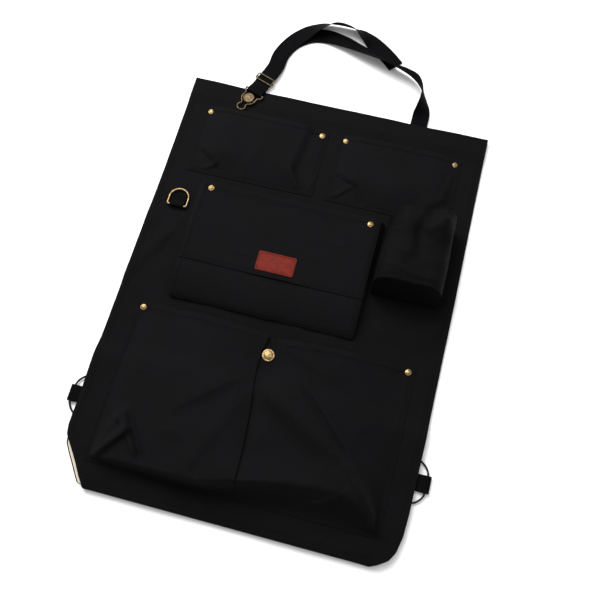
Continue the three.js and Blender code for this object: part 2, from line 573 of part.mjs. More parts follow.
// ---- bottom pocket: two wings and a centre pleat that the snap holds down ---------------------------
function bottomPuff(y) {
  const share = (BOTTOM_POCKET_MOUTH - y) / (BOTTOM_POCKET_MOUTH - BOTTOM_POCKET_END);
  return BOTTOM_MOUTH_PUFF + (BOTTOM_FULL_PUFF - BOTTOM_MOUTH_PUFF) * Math.min(1, Math.max(0, share));
}
const bottomRim = BOTTOM_POCKET_END + BOTTOM_FLANGE;
const bottomYs = [BOTTOM_POCKET_END, bottomRim, bottomRim + WALL_RUN, LIFT_END_Y, LIFT_START_Y,
  BOTTOM_POCKET_MOUTH];
const wingXs = [-BOTTOM_POCKET_HALF_WIDTH, -BOTTOM_POCKET_HALF_WIDTH + FLANGE,
  -BOTTOM_POCKET_HALF_WIDTH + FLANGE + WALL_RUN, -PLEAT_HALF_WIDTH];
const wingBottom = (x, y) => {
  const raised = Math.abs(x) < BOTTOM_POCKET_HALF_WIDTH - FLANGE - 1 && y > bottomRim;
  return POCKET_Z + liftAt(y) + (raised ? bottomPuff(y) : 0);
};
const leftWing = relief(wingXs, bottomYs, POCKET_CLOTH, wingBottom);
add("bottom_pocket_left", cut(leftWing, bottomLeftHoles), canvas());
const rightXs = wingXs.map((x) => -x).reverse();
const rightWing = relief(rightXs, bottomYs, POCKET_CLOTH, wingBottom);
add("bottom_pocket_right", cut(rightWing, bottomRightHoles), canvas());

const pleatEdge = PLEAT_HALF_WIDTH - 2 * GAP;
const pleatYs = [BOTTOM_POCKET_END, bottomRim, bottomRim + WALL_RUN, PLEAT_HIGH_START, LIFT_END_Y,
  PLEAT_LOW_END, BOTTOM_POCKET_MOUTH];
const pleatBottom = (x, y) => {
  if (y <= bottomRim) return POCKET_Z + liftAt(y);
  if (y >= PLEAT_LOW_END) return POCKET_Z + PLEAT_SNAP_PUFF;
  const ramp = Math.min(1, (PLEAT_LOW_END - y) / (PLEAT_LOW_END - PLEAT_HIGH_START));
  return POCKET_Z + liftAt(y) + PLEAT_SNAP_PUFF + (bottomPuff(y) - PLEAT_SNAP_PUFF) * ramp;
};
const pleat = relief([-pleatEdge, pleatEdge], pleatYs, POCKET_CLOTH, pleatBottom);
add("bottom_pocket_pleat", cut(pleat, [hole(0, SNAP_Y, SNAP_STEM + GAP)]), canvas());

// ---- D-ring and its webbing tab -----------------------------------------------------------------
const tabLowZ = POCKET_Z + D_TAB_CLOTH / 2;
const wrapRadius = D_RING_WIRE + D_RING_PLAY + D_TAB_CLOTH / 2;
const ringZ = tabLowZ + wrapRadius;
const tabUpZ = tabLowZ + D_TAB_CLOTH + GAP;
const dTabPath = [v2(D_RING_BAR_Y + D_TAB_LENGTH, tabLowZ),
  ...arcPoints(v2(D_RING_BAR_Y, ringZ), wrapRadius, 270, 90, 8),
  v2(D_RING_BAR_Y + 5, ringZ + 1.3), v2(D_RING_BAR_Y + 10, tabUpZ), v2(D_RING_BAR_Y + D_TAB_LENGTH, tabUpZ)];
add("d_ring_tab", alongX(stripShape(dTabPath, D_TAB_CLOTH), D_RING_X - D_TAB_WIDTH / 2,
  D_RING_X + D_TAB_WIDTH / 2), webbing());

// A wire of round section that follows a smooth path.
function wire(points, radius, steps, sides) {
  const section = new THREE.Shape(arcPoints(v2(0, 0), radius, 0, 360 - 360 / sides, sides - 1));
  const path = new THREE.CatmullRomCurve3(points, false, "centripetal");
  return new THREE.ExtrudeGeometry(section, { steps, extrudePath: path, bevelEnabled: false });
}
const dRingTop = D_RING_BAR_Y + D_RING_ARM;
const dRingArch = arcPoints(v2(D_RING_X, dRingTop), D_RING_HALF_WIDTH, 0, 180, 10)
  .map((p) => v3(p.x, p.y, ringZ));
const dRingLeft = D_RING_X - D_RING_HALF_WIDTH;
const dRingRight = D_RING_X + D_RING_HALF_WIDTH;
const dRingWire = wire([v3(dRingRight, D_RING_BAR_Y, ringZ), v3(dRingRight, D_RING_BAR_Y + 6, ringZ),
  ...dRingArch, v3(dRingLeft, D_RING_BAR_Y + 6, ringZ), v3(dRingLeft, D_RING_BAR_Y, ringZ)],
D_RING_WIRE, 24, 10);
const dRingBar = rod(v3(dRingLeft - 1, D_RING_BAR_Y, ringZ), v3(dRingRight + 1, D_RING_BAR_Y, ringZ),
  D_RING_WIRE);
add("d_ring", join([dRingWire, dRingBar]), brass());

// ---- side tabs and the elastic cord that runs behind the panel --------------------------------------
const tabTopZ = CORD_ROOM - GAP - SIDE_TAB_CLOTH / 2;
const tabNextZ = tabTopZ - SIDE_TAB_CLOTH - GAP;
const loopHigh = 5.2;
const loopLow = 0.7;
const loopRadius = (loopHigh - loopLow) / 2;
const cordLoopZ = (loopHigh + loopLow) / 2;
const loopEndX = half + SIDE_TAB_REACH;
const sideTabPath = [v2(half - SIDE_TAB_ROOT, tabTopZ), v2(half + 4, tabTopZ), v2(half + 8, loopHigh),
  ...arcPoints(v2(loopEndX, cordLoopZ), loopRadius, 90, -90, 6),
  v2(half + 8, loopLow), v2(half + 4, tabNextZ), v2(half - SIDE_TAB_ROOT, tabNextZ)];
const tabFrom = SIDE_TAB_Y - SIDE_TAB_WIDTH / 2;
const tabTo = SIDE_TAB_Y + SIDE_TAB_WIDTH / 2;
add("right_side_tab", alongY(stripShape(sideTabPath, SIDE_TAB_CLOTH), tabFrom, tabTo), webbing());
const mirroredPath = sideTabPath.map((p) => v2(-p.x, p.y)).reverse();
add("left_side_tab", alongY(stripShape(mirroredPath, SIDE_TAB_CLOTH), tabFrom, tabTo), webbing());

// Half of the cord's route, from the crimp round the left tab to the middle of the upper run.
const cordX = half + 13;
const cordHalf = [[-0.5, -222, 2.5], [-10, -222, 2.5], [-32, -222, 1.6], [-110, -222, 1.6],
  [-180, -223, 1.6], [-212, -226, 1.7], [-227, -223.5, 2.2], [-235.5, -215.5, 2.8],
  [-cordX, -207, cordLoopZ], [-cordX, -189, cordLoopZ], [-235.5, -180, 2.8], [-227, -171.5, 2.2],
  [-212, -167, 1.7], [-180, -166, 1.6], [-100, -167, 1.6], [0, -168, 1.6]];
const cordOther = cordHalf.slice(0, -1).reverse().map(([x, y, z]) => [-x, y, z]);
const cordPoints = [...cordHalf, ...cordOther].map(([x, y, z]) => v3(x, y, z));
add("elastic_cord", wire(cordPoints, CORD_RADIUS, 80, 8), elastic());
const crimpFrom = CRIMP_CENTRE.clone().setX(-CRIMP_LENGTH / 2);
const crimpTo = CRIMP_CENTRE.clone().setX(CRIMP_LENGTH / 2);
const crimpBore = rod(v3(-CRIMP_LENGTH, CRIMP_CENTRE.y, CRIMP_CENTRE.z),
  v3(CRIMP_LENGTH, CRIMP_CENTRE.y, CRIMP_CENTRE.z), CORD_RADIUS + GAP, 12);
add("cord_crimp", cut(rod(crimpFrom, crimpTo, CRIMP_RADIUS, 12), [crimpBore]), brass());

// ---- strap: one length of webbing ---------------------------------------------------------------
// A station is [x, y, z, azimuth of the width direction, tilt of the width direction], in degrees.
function alongStrap(distance, z) {
  const p = CLIP_BAR_CENTRE.clone().addScaledVector(STRAP_UP, distance);
  return [p.x, p.y, z, 160, 0];
}
// Places along the loop are given on a strap whose two anchors lie ANCHOR_SPAN apart, and are stretched to
// the real distance. The height is the clear space under the webbing's lowest edge.
const ANCHOR_SPAN = 251;
const strapStretch = (STRAP_BASE_X - CLIP_BAR_CENTRE.x) / ANCHOR_SPAN;
function lying(x, aboveTop, clear, azimuth, tilt) {
  const angle = THREE.MathUtils.degToRad(Math.abs(tilt));
  const rise = (WEBBING_WIDTH / 2) * Math.sin(angle) + (WEBBING / 2) * Math.cos(angle);
  return [CLIP_BAR_CENTRE.x + x * strapStretch, TOP_Y + aboveTop, clear + rise, azimuth, tilt];
}
const wrap = CLIP_WIRE + CLIP_PLAY + WEBBING / 2;
// The clip leans more than the strap, so the wrap is set back until its near corner clears the bar.
const wrapSetBack = (WEBBING_WIDTH / 2) * Math.tan(CLIP_LEAN - STRAP_LEAN);
const clipWrap = arcPoints(v2(-wrapSetBack, CLIP_Z), wrap, 270, 90, 6).map((p) => alongStrap(p.x, p.y));
const onTop = WEBBING + GAP;
const strapStations = [
  [STRAP_BASE_X, HEM_BOTTOM_Y + 6, HEM_STRAP_Z, 0, 0],
  [STRAP_BASE_X, HEM_BOTTOM_Y + 20, HEM_STRAP_Z, 0, 0],
  [STRAP_BASE_X, TOP_Y + 1, HEM_STRAP_Z + 0.1, 0, 0],
  lying(251, 10, 1.65, 0, 0), lying(251, 17, 2.3, 0, -6), lying(251, 28, 0.8, 4, -36),
  lying(249, 42, 0.8, 8, -62), lying(244, 58, 2.0, 18, -82), lying(234, 72, 2.6, 50, -84),
  lying(218, 81, 3.1, 68, -74), lying(196, 88, 3.3, 74, -62), lying(170, 97, 2.6, 74, -47),
  lying(138, 109, 1.8, 75, -30), lying(105, 120, 1.1, 80, -12), lying(78, 124, 0.9, 95, 0),
  lying(54, 118, 0.6, 118, 0), lying(33, 99, 0.6, 137, 0), lying(20, 74, 1.0, 152, 0),
  alongStrap(STRAIGHT_RUN + 14, 3.4),
  alongStrap(STRAIGHT_RUN, STRAP_LOWER_Z), alongStrap(30, STRAP_LOWER_Z), alongStrap(14, STRAP_LOWER_Z),
  ...clipWrap,
  alongStrap(4.5, CLIP_Z + wrap - 0.6), alongStrap(10.5, STRAP_UPPER_Z + 0.15), alongStrap(16, STRAP_UPPER_Z),
  alongStrap(30, STRAP_UPPER_Z), alongStrap(STRAIGHT_RUN, STRAP_UPPER_Z),
  alongStrap(STRAIGHT_RUN + 14, 3.4 + onTop),
  lying(19.5, 74, 1.1 + onTop, 152, 0), lying(32, 100, 0.8 + onTop, 138, 0), lying(48, 121, 2.0, 120, -8),
  lying(68, 135, 1.8, 106, -32), lying(92, 143, 1.7, 97, -58), lying(118, 142, 1.1, 87, -54),
  lying(138, 136.5, 0.7, 78, -24), lying(154, 128.5, 0.7, 67, 0), lying(168, 119.5, 0.5, 58, 0),
  lying(184, 107, 0.4, 52, 0), lying(196, 96, 0.4, 50, 0),
];

function webbingSolid(stations, steps) {
  const route = new THREE.CatmullRomCurve3(stations.map(([x, y, z]) => v3(x, y, z)), false, "centripetal");
  const angles = new THREE.CatmullRomCurve3(stations.map((s) => v3(s[3], s[4], 0)), false, "catmullrom", 0.3);
  const rings = [];
  for (let i = 0; i <= steps; i++) {
    const t = i / steps;
    const centre = route.getPoint(t);
    const tangent = route.getTangent(t);
    const turn = angles.getPoint(t);
    const azimuth = THREE.MathUtils.degToRad(turn.x);
    const tilt = THREE.MathUtils.degToRad(turn.y);
    const across = v3(Math.cos(azimuth) * Math.cos(tilt), Math.sin(azimuth) * Math.cos(tilt), Math.sin(tilt));
    across.addScaledVector(tangent, -across.dot(tangent)).normalize();
    const up = new THREE.Vector3().crossVectors(across, tangent).normalize();
    const corner = (a, b) => centre.clone().addScaledVector(across, (a * WEBBING_WIDTH) / 2)
      .addScaledVector(up, (b * WEBBING) / 2);
    rings.push([corner(-1, -1), corner(-1, 1), corner(1, 1), corner(1, -1)]);
  }
  return skin(rings);
}
const stationCount = strapStations.length - 1;
const wholeStrap = webbingSolid(strapStations, stationCount * 3);

// The strap folds at the panel's top edge, so it is parted there: what is sewn or looped stays with the
// panel, and the rest swings. Its free end lies on the main run.
const REACH = 900;
const belowFold = STRAP_FOLD_Y - STRAP_FOLD_GAP / 2;
const aboveFold = STRAP_FOLD_Y + STRAP_FOLD_GAP / 2;
const rightHalf = box(v3(0, -REACH, -REACH), v3(REACH, belowFold, REACH));
const leftHalf = box(v3(-REACH, -REACH, -REACH), v3(0, belowFold, REACH));
add("strap_sewn_end", keep(wholeStrap, rightHalf), webbing());
add("strap_clip_loop", keep(wholeStrap, leftHalf), webbing());
const beyondFold = box(v3(-REACH, aboveFold, -REACH), v3(REACH, REACH, REACH));
const swinging = toSolid(wholeStrap).intersect(toSolid(beyondFold));
const runs = swinging.decompose().sort((a, b) => b.volume() - a.volume());
add("neck_strap", toGeometry(runs[0]), webbing());
add("strap_free_end", toGeometry(runs[1]), webbing());

// The slider: two outer wires over the webbing, a centre wire under it, and the sides that join them.
const sliderHigh = STRAP_UPPER_Z + WEBBING / 2 + GAP + SLIDER_WIRE;
const sliderLow = STRAP_LOWER_Z - WEBBING / 2 - GAP - SLIDER_WIRE;
function onSlider(along, across, z) {
  const p = CLIP_BAR_CENTRE.clone().addScaledVector(STRAP_UP, SLIDER_FROM_BAR + along);
  return v3(p.x + across * STRAP_UP.y, p.y - across * STRAP_UP.x, z);
}
const sliderRods = [];
for (const end of [-SLIDER_HALF_LENGTH, SLIDER_HALF_LENGTH]) {
  sliderRods.push(rod(onSlider(end, -SLIDER_HALF_WIDTH - 0.7, sliderHigh),
    onSlider(end, SLIDER_HALF_WIDTH + 0.7, sliderHigh), SLIDER_WIRE));
}
for (const side of [-SLIDER_HALF_WIDTH, SLIDER_HALF_WIDTH]) {
  sliderRods.push(rod(onSlider(-SLIDER_HALF_LENGTH, side, sliderHigh),
    onSlider(SLIDER_HALF_LENGTH, side, sliderHigh), SLIDER_WIRE * 0.98));
  sliderRods.push(rod(onSlider(0, side, sliderLow - 0.6), onSlider(0, side, sliderHigh), SLIDER_WIRE * 0.96));
}
sliderRods.push(rod(onSlider(0, -SLIDER_HALF_WIDTH, sliderLow), onSlider(0, SLIDER_HALF_WIDTH, sliderLow),
  SLIDER_WIRE));
add("strap_slider", join(sliderRods), brass());

// The wire clip: a bar for the strap, a wide eye that the button passes and a narrow eye that locks it.
function onClip(along, across) {
  const p = CLIP_BAR_CENTRE.clone().addScaledVector(CLIP_DOWN, along);
  return v3(p.x - across * CLIP_DOWN.y, p.y + across * CLIP_DOWN.x, CLIP_Z);
}
const clipSide = [[0, CLIP_BAR_HALF], [4.4, CLIP_BAR_HALF - 0.7], [7.6, CLIP_BAR_HALF - 4.3], [10.6, 11.0],
  [14.3, 11.1], [18.5, 10.1], [22, 7.6], [24.8, 4.6], [27.2, 4.6], [31, 6.4], [35, 5.2]];
const clipRoute = [...clipSide, [37.3, 0], ...clipSide.slice().reverse().map(([a, b]) => [a, -b])];
const clipWire = wire(clipRoute.map(([a, b]) => onClip(a, b)), CLIP_WIRE, 54, 8);
const clipBar = rod(onClip(0, -CLIP_BAR_HALF - 0.6), onClip(0, CLIP_BAR_HALF + 0.6), CLIP_WIRE);
add("wire_clip", join([clipWire, clipBar]), brass());

export default apron;
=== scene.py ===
import math
import bpy
import numpy as np
from mathutils import Matrix, Vector


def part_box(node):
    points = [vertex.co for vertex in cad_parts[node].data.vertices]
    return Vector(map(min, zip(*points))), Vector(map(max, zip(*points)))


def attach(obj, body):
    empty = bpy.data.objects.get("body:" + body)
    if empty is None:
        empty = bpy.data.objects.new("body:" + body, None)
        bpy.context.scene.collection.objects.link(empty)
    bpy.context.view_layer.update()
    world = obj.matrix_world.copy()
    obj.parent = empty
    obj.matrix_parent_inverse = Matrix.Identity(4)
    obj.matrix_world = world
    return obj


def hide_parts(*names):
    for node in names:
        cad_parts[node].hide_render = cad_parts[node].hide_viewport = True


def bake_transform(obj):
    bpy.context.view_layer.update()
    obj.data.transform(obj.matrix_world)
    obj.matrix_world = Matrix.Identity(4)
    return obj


# A black canvas organiser apron lying on its back. Lengths here are millimetres, and each mesh is made in
# metres. X runs across, Y toward the top hem and Z up out of the front.
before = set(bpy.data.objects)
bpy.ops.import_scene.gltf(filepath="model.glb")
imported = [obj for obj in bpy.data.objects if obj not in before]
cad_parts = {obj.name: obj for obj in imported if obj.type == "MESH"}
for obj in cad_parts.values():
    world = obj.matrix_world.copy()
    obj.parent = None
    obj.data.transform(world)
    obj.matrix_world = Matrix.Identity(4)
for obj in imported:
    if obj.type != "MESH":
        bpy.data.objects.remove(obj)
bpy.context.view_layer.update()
MM = 0.001

# ---- sizes --------------------------------------------------------------------------------------
CANVAS = 1.0
POCKET_CLOTH = 0.8
GAP = 0.3  # left between layers
FRONT_Z = 1.8  # the canvas front's middle over the floor
POCKET_Z = 2.6
HEM_RISE = 1.5
CORD_ROOM = 5.0  # how far the front is lifted over its turned-under part
LIFT_START = -110
LIFT_RUN = 32
SEAM_ROWS = (3.2, 6.4)
STITCH_PITCH = 3.6
STITCH_LENGTH = 2.9
STITCH_RADIUS = 0.32
GRID = 2.2

WEBBING_WIDTH = 25
WEBBING = 1.3
STRAP_LEAN = math.radians(20)
CLIP_LEAN = math.radians(25)
STRAP_X = 121
CORD_DIAMETER = 2.6
BRAID_PITCH = 1.6


def node_box(name):
    low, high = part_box(name)
    return np.array(low) / MM, np.array(high) / MM


def node_centre(name):
    low, high = node_box(name)
    return (low + high) / 2


PANEL_LOW, PANEL_HIGH = node_box("front_panel")
HALF = PANEL_HIGH[0]
TOP = PANEL_HIGH[1]
BOTTOM = PANEL_LOW[1]
HEM_BOTTOM = node_box("top_hem_facing")[0][1]
SNAP = node_centre("snap_cap")
BUTTON = node_centre("button_head")
RING_TAB = node_centre("d_ring_tab")
RIVETS = {n: node_centre(f"rivet_cap_{n}") for n in range(1, 9)}


# ---- camera -------------------------------------------------------------------------------------
# Metres, from the fit to the panel's edges in the photograph.
CAMERA_PLACE = (0.1312, -0.3550, 1.0316)
CAMERA_AIM = Vector((-0.1014, 0.3266, -0.9397))
CAMERA_UP = Vector((-0.2332, 0.9105, 0.3416))
SENSOR_WIDTH = 36
LENS = 47.88


def make_camera():
    data = bpy.data.cameras.new("camera")
    data.sensor_width = SENSOR_WIDTH
    data.lens = LENS
    camera = bpy.data.objects.new("camera", data)
    bpy.context.scene.collection.objects.link(camera)
    back = -CAMERA_AIM.normalized()
    right = CAMERA_UP.cross(back).normalized()
    turn = Matrix((right, back.cross(right), back)).transposed().to_4x4()
    camera.matrix_world = Matrix.Translation(CAMERA_PLACE) @ turn
    bpy.context.scene.camera = camera


# ---- shape functions ----------------------------------------------------------------------------
def smooth(t):
    t = np.clip(t, 0, 1)
    return t * t * (3 - 2 * t)


def bell(t):
    return np.exp(-(t**2))


def ripple(x, y, wavelength, seed, waves=8):
    """A smooth random undulation, mostly between -1 and 1."""
    rng = np.random.default_rng(seed)
    total = 0
    for _ in range(waves):
        angle = rng.uniform(0, 2 * math.pi)
        length = wavelength * rng.uniform(0.6, 1.7)
        phase = rng.uniform(0, 2 * math.pi)
        total = total + np.sin(2 * math.pi / length * (x * math.cos(angle) + y * math.sin(angle)) + phase)
    return total / math.sqrt(2 * waves)


def crumple(x, y, size, seed):
    """Soft ridges that come and go over the cloth, between about 0 and 1."""
    ridges = np.exp(-np.abs(ripple(x, y, size, seed)) * 5)
    return ridges * smooth(0.5 + ripple(x, y, size * 1.3, seed + 500))


def fold(x, y, start, end, width, height, steep=0.45):
    """A crease along a line: it rises gently on the left of its direction and drops steeply on the right."""
    (ax, ay), (bx, by) = start, end
    dx, dy = bx - ax, by - ay
    length = math.hypot(dx, dy)
    along = ((x - ax) * dx + (y - ay) * dy) / length**2
    side = ((x - ax) * dy - (y - ay) * dx) / length
    spread = np.where(side > 0, width * steep, width)
    ends = smooth((along + 0.15) / 0.35) * smooth((1.15 - along) / 0.35)
    return height * ends * bell(side / spread)


def beyond(x, y, start, end, width):
    """Rises from 0 to 1 across a line, toward the right of its direction."""
    (ax, ay), (bx, by) = start, end
    dx, dy = bx - ax, by - ay
    return smooth(0.5 + ((x - ax) * dy - (y - ay) * dx) / math.hypot(dx, dy) / width)


def hermite(points, slopes, per_segment):
    """A smooth curve through the points. slopes gives the slopes at b and c of four points a, b, c and d."""
    p = np.array(points, float)
    p = np.vstack([2 * p[0] - p[1], p, 2 * p[-1] - p[-2]])
    curve = []
    for i in range(1, len(p) - 2):
        a, b, c, d = p[i - 1 : i + 3]
        into, out = slopes(a, b, c, d)
        for k in range(per_segment + (i == len(p) - 3)):
            t = k / per_segment
            curve.append((2 * t**3 - 3 * t**2 + 1) * b + (t**3 - 2 * t**2 + t) * into
                         + (3 * t**2 - 2 * t**3) * c + (t**3 - t**2) * out)
    return np.array(curve)


def centripetal_slopes(a, b, c, d):
    before, here, after = (max(np.linalg.norm(q - r), 1e-6) ** 0.5 for q, r in ((b, a), (c, b), (d, c)))
    return (((b - a) / before - (c - a) / (before + here) + (c - b) / here) * here,
            ((c - b) / here - (d - b) / (here + after) + (d - c) / after) * here)


def centripetal(points, per_segment):
    return hermite(points, centripetal_slopes, per_segment)


def respace(points, step):
    """Points at even steps along a line of points."""
    points = np.array(points, float)
    run = np.concatenate([[0], np.cumsum(np.linalg.norm(np.diff(points, axis=0), axis=1))])
    count = max(2, int(round(run[-1] / step)) + 1)
    at = np.linspace(0, run[-1], count)
    return np.stack([np.interp(at, run, points[:, k]) for k in range(points.shape[1])], axis=1)


def arc(centre, radius, start, end, steps):
    angles = np.radians(np.linspace(start, end, steps + 1))
    return [(centre[0] + radius * math.cos(a), centre[1] + radius * math.sin(a)) for a in angles]


def unit(vectors):
    return vectors / np.maximum(np.linalg.norm(vectors, axis=-1, keepdims=True), 1e-9)


# ---- mesh helpers -------------------------------------------------------------------------------
def make_mesh(name, points, faces, material, lay=None, sharp=50):
    """An object from points in millimetres. lay is each point's place on the flat cloth, for its weave."""
    mesh = bpy.data.meshes.new(name)
    mesh.from_pydata((np.asarray(points) * MM).tolist(), [], faces)
    if lay is not None:
        attribute = mesh.attributes.new("lay", "FLOAT_VECTOR", "POINT")
        flat = np.zeros((len(points), 3), np.float32)
        flat[:, : lay.shape[1]] = lay * MM
        attribute.data.foreach_set("vector", flat.ravel())
    mesh.materials.append(material)
    mesh.shade_smooth()
    mesh.set_sharp_from_angle(angle=math.radians(sharp))
    mesh.validate()
    thing = bpy.data.objects.new(name, mesh)
    bpy.context.scene.collection.objects.link(thing)
    return thing


def grid_faces(rows, columns, wrap=False, start=0, flip=False):
    r = np.arange(rows - 1)[:, None]
    c = np.arange(columns if wrap else columns - 1)[None, :]
    a = start + r * columns + c
    b = start + r * columns + (c + 1) % columns
    quads = np.stack([a, a + columns, b + columns, b], axis=-1).reshape(-1, 4)
    return (quads[:, ::-1] if flip else quads).tolist()


def closing_faces(rows, columns):
    """The faces that join a wrapped grid's last row to its first."""
    last = (rows - 1) * columns
    return [[last + k, k, (k + 1) % columns, last + (k + 1) % columns] for k in range(columns)]


def put(piece, body, *nodes):
    """Rides a piece on a body, in the place of CAD nodes if any are given."""
    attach(piece, body)
    if nodes:
        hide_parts(*nodes)
    return piece


def plane_grid(x0, x1, columns, y0, y1, lines):
    return np.meshgrid(np.linspace(x0, x1, columns), np.linspace(y0, y1, lines), indexing="ij")


def cloth(name, middle, thickness, material, relief=0):
    """A closed cloth from a grid of its middle surface. Its edges are thinned so that they look round."""
    rows, columns = middle.shape[:2]
    across = np.gradient(middle, axis=0)
    along = np.gradient(middle, axis=1)
    normal = unit(np.cross(across, along))
    thick = np.broadcast_to(np.asarray(thickness, float), (rows, columns)).copy()
    for edge in (np.s_[0], np.s_[-1], np.s_[:, 0], np.s_[:, -1]):
        thick[edge] *= 0.62
    over = middle + normal * (thick / 2 + relief)[..., None]
    under = middle - normal * (thick / 2)[..., None]
    points = np.concatenate([over.reshape(-1, 3), under.reshape(-1, 3)])
    size = rows * columns
    faces = grid_faces(rows, columns) + grid_faces(rows, columns, start=size, flip=True)
    rim = [k for k in range(columns - 1)] + [r * columns + columns - 1 for r in range(rows - 1)]
    rim += [size - 1 - k for k in range(columns - 1)] + [r * columns for r in range(rows - 1, 0, -1)]
    for here, there in zip(rim, rim[1:] + rim[:1]):
        faces.append([here, there, there + size, here + size])
    u = np.concatenate([[0], np.cumsum(np.linalg.norm(np.diff(middle[:, columns // 2], axis=0), axis=-1))])
    v = np.concatenate([[0], np.cumsum(np.linalg.norm(np.diff(middle[rows // 2], axis=0), axis=-1))])
    lay = np.stack(np.meshgrid(u, v, indexing="ij"), axis=-1).reshape(-1, 2)
    return make_mesh(name, points, faces, material, np.concatenate([lay, lay]))


def cut_size(middle):
    """The flat width, length and area of a grid of cloth, in metres."""
    du = np.linalg.norm(np.diff(middle, axis=0), axis=-1)
    dv = np.linalg.norm(np.diff(middle, axis=1), axis=-1)
    width = du.sum(axis=0).max() * MM
    length = dv.sum(axis=1).max() * MM
    area = (np.linalg.norm(np.cross(middle[1:, :-1] - middle[:-1, :-1], middle[:-1, 1:] - middle[:-1, :-1]),
                           axis=-1)).sum() * MM * MM
    return (width, length), min(area, width * length)


def sheet(middle):
    flat, area = cut_size(middle)


def tube(name, centre, radius, material, sides=12, closed=False, braid=0):
    """A round wire or cord along a line of points."""
    centre = np.array(centre, float)
    if closed:
        tangent = unit(np.roll(centre, -1, axis=0) - np.roll(centre, 1, axis=0))
    else:
        tangent = unit(np.gradient(centre, axis=0))
    side = np.cross(tangent[0], [0.0, 0.0, 1.0])
    side = unit(side if np.linalg.norm(side) > 1e-3 else np.array([1.0, 0, 0]))
    carried = []
    for t in tangent:
        side = unit(side - t * np.dot(side, t))
        carried.append(side)
    side = np.array(carried)
    other = np.cross(tangent, side)
    run = np.concatenate([[0], np.cumsum(np.linalg.norm(np.diff(centre, axis=0), axis=1))])
    angle = np.arange(sides) * 2 * math.pi / sides
    radii = radius * np.ones((len(centre), sides))
    if braid:
        twist = run[:, None] / BRAID_PITCH * math.pi
        radii = radii * (1 + braid * np.sin(3 * angle + twist) * np.sin(3 * angle - twist))
    points = (centre[:, None] + side[:, None] * (radii * np.cos(angle))[..., None]
              + other[:, None] * (radii * np.sin(angle))[..., None])
    rows = len(centre)
    faces = grid_faces(rows, sides, wrap=True)
    if closed:
        faces += closing_faces(rows, sides)
    else:
        faces += [list(range(sides))[::-1], [(rows - 1) * sides + k for k in range(sides)]]
    lay = np.stack([np.repeat(run, sides), np.tile(angle, rows)], axis=1)
    return make_mesh(name, points.reshape(-1, 3), [f[::-1] for f in faces], material, lay)


def turned(name, profile, centre, material, sides=40, wave=None):
    """A lathe piece on a vertical axis. The profile runs from axis to axis as [radius, height]."""
    profile = np.array(profile, float)
    angle = np.arange(sides) * 2 * math.pi / sides
    inner = profile[1:-1]
    radius = inner[:, 0][:, None] * np.ones(sides)
    height = inner[:, 1][:, None] * np.ones(sides)
    if wave:
        height = height + wave(radius / radius.max(), angle[None, :] * np.ones_like(radius))
    cx, cy = centre
    points = np.stack([cx + radius * np.cos(angle), cy + radius * np.sin(angle), height], axis=-1)
    points = points.reshape(-1, 3)
    faces = [f[::-1] for f in grid_faces(len(inner), sides, wrap=True)]
    first, last = len(points), len(points) + 1
    points = np.vstack([points, [cx, cy, profile[0, 1]], [cx, cy, profile[-1, 1]]])
    base = (len(inner) - 1) * sides
    for k in range(sides):
        faces.append([first, (k + 1) % sides, k])
        faces.append([last, base + k, base + (k + 1) % sides])
    return make_mesh(name, points, faces, material, None, sharp=35)


def stitches(name, rows):
    """Lock stitches along rows of (points, normals) on a surface."""
    sides, rings = 6, np.array([[-0.5, 0.35], [-0.32, 0.9], [0, 1.0], [0.32, 0.9], [0.5, 0.35]])
    angle = np.arange(sides) * 2 * math.pi / sides
    points, faces = [], []
    for line, normals in rows:
        joined = respace(np.hstack([line, normals]), STITCH_PITCH)
        if len(joined) < 3:
            continue
        middle = (joined[1:, :3] + joined[:-1, :3]) / 2
        forward = unit(joined[1:, :3] - joined[:-1, :3])
        up = unit(joined[1:, 3:] + joined[:-1, 3:])
        side = unit(np.cross(forward, up))
        for m, f, n, s in zip(middle, forward, up, side):
            start = len(points) * sides
            for along, size in rings:
                ring = m + f * along * STITCH_LENGTH + n * (0.06 - 1.2 * along**2)
                r = STITCH_RADIUS * size
                points.append(ring + np.outer(np.cos(angle), s) * r + np.outer(np.sin(angle), n) * r)
            faces += [q[::-1] for q in grid_faces(len(rings), sides, wrap=True, start=start)]
            faces.append(list(range(start, start + sides)))
            end = start + (len(rings) - 1) * sides
            faces.append(list(range(end, end + sides))[::-1])
    return make_mesh(name, np.concatenate(points), [f[::-1] for f in faces], thread, None, sharp=80)


def on_surface(height, line, step=3.0):
    """A row for stitches(): points on a height function along a line of (x, y), with their normals."""
    line = respace(line, step)
    x, y = line[:, 0], line[:, 1]
    z = height(x, y)
    h = 0.4
    slope_x = (height(x + h, y) - height(x - h, y)) / (2 * h)
    slope_y = (height(x, y + h) - height(x, y - h)) / (2 * h)
    normal = unit(np.stack([-slope_x, -slope_y, np.ones_like(x)], axis=1))
    return np.stack([x, y, z], axis=1), normal


def sew(name, surface, lines):
    """Stitches along lines of (x, y) on a height function."""
    return put(stitches(name, [on_surface(surface, line) for line in lines]), "root")


def above(surface, rise):
    return lambda x, y: surface(x, y) + rise


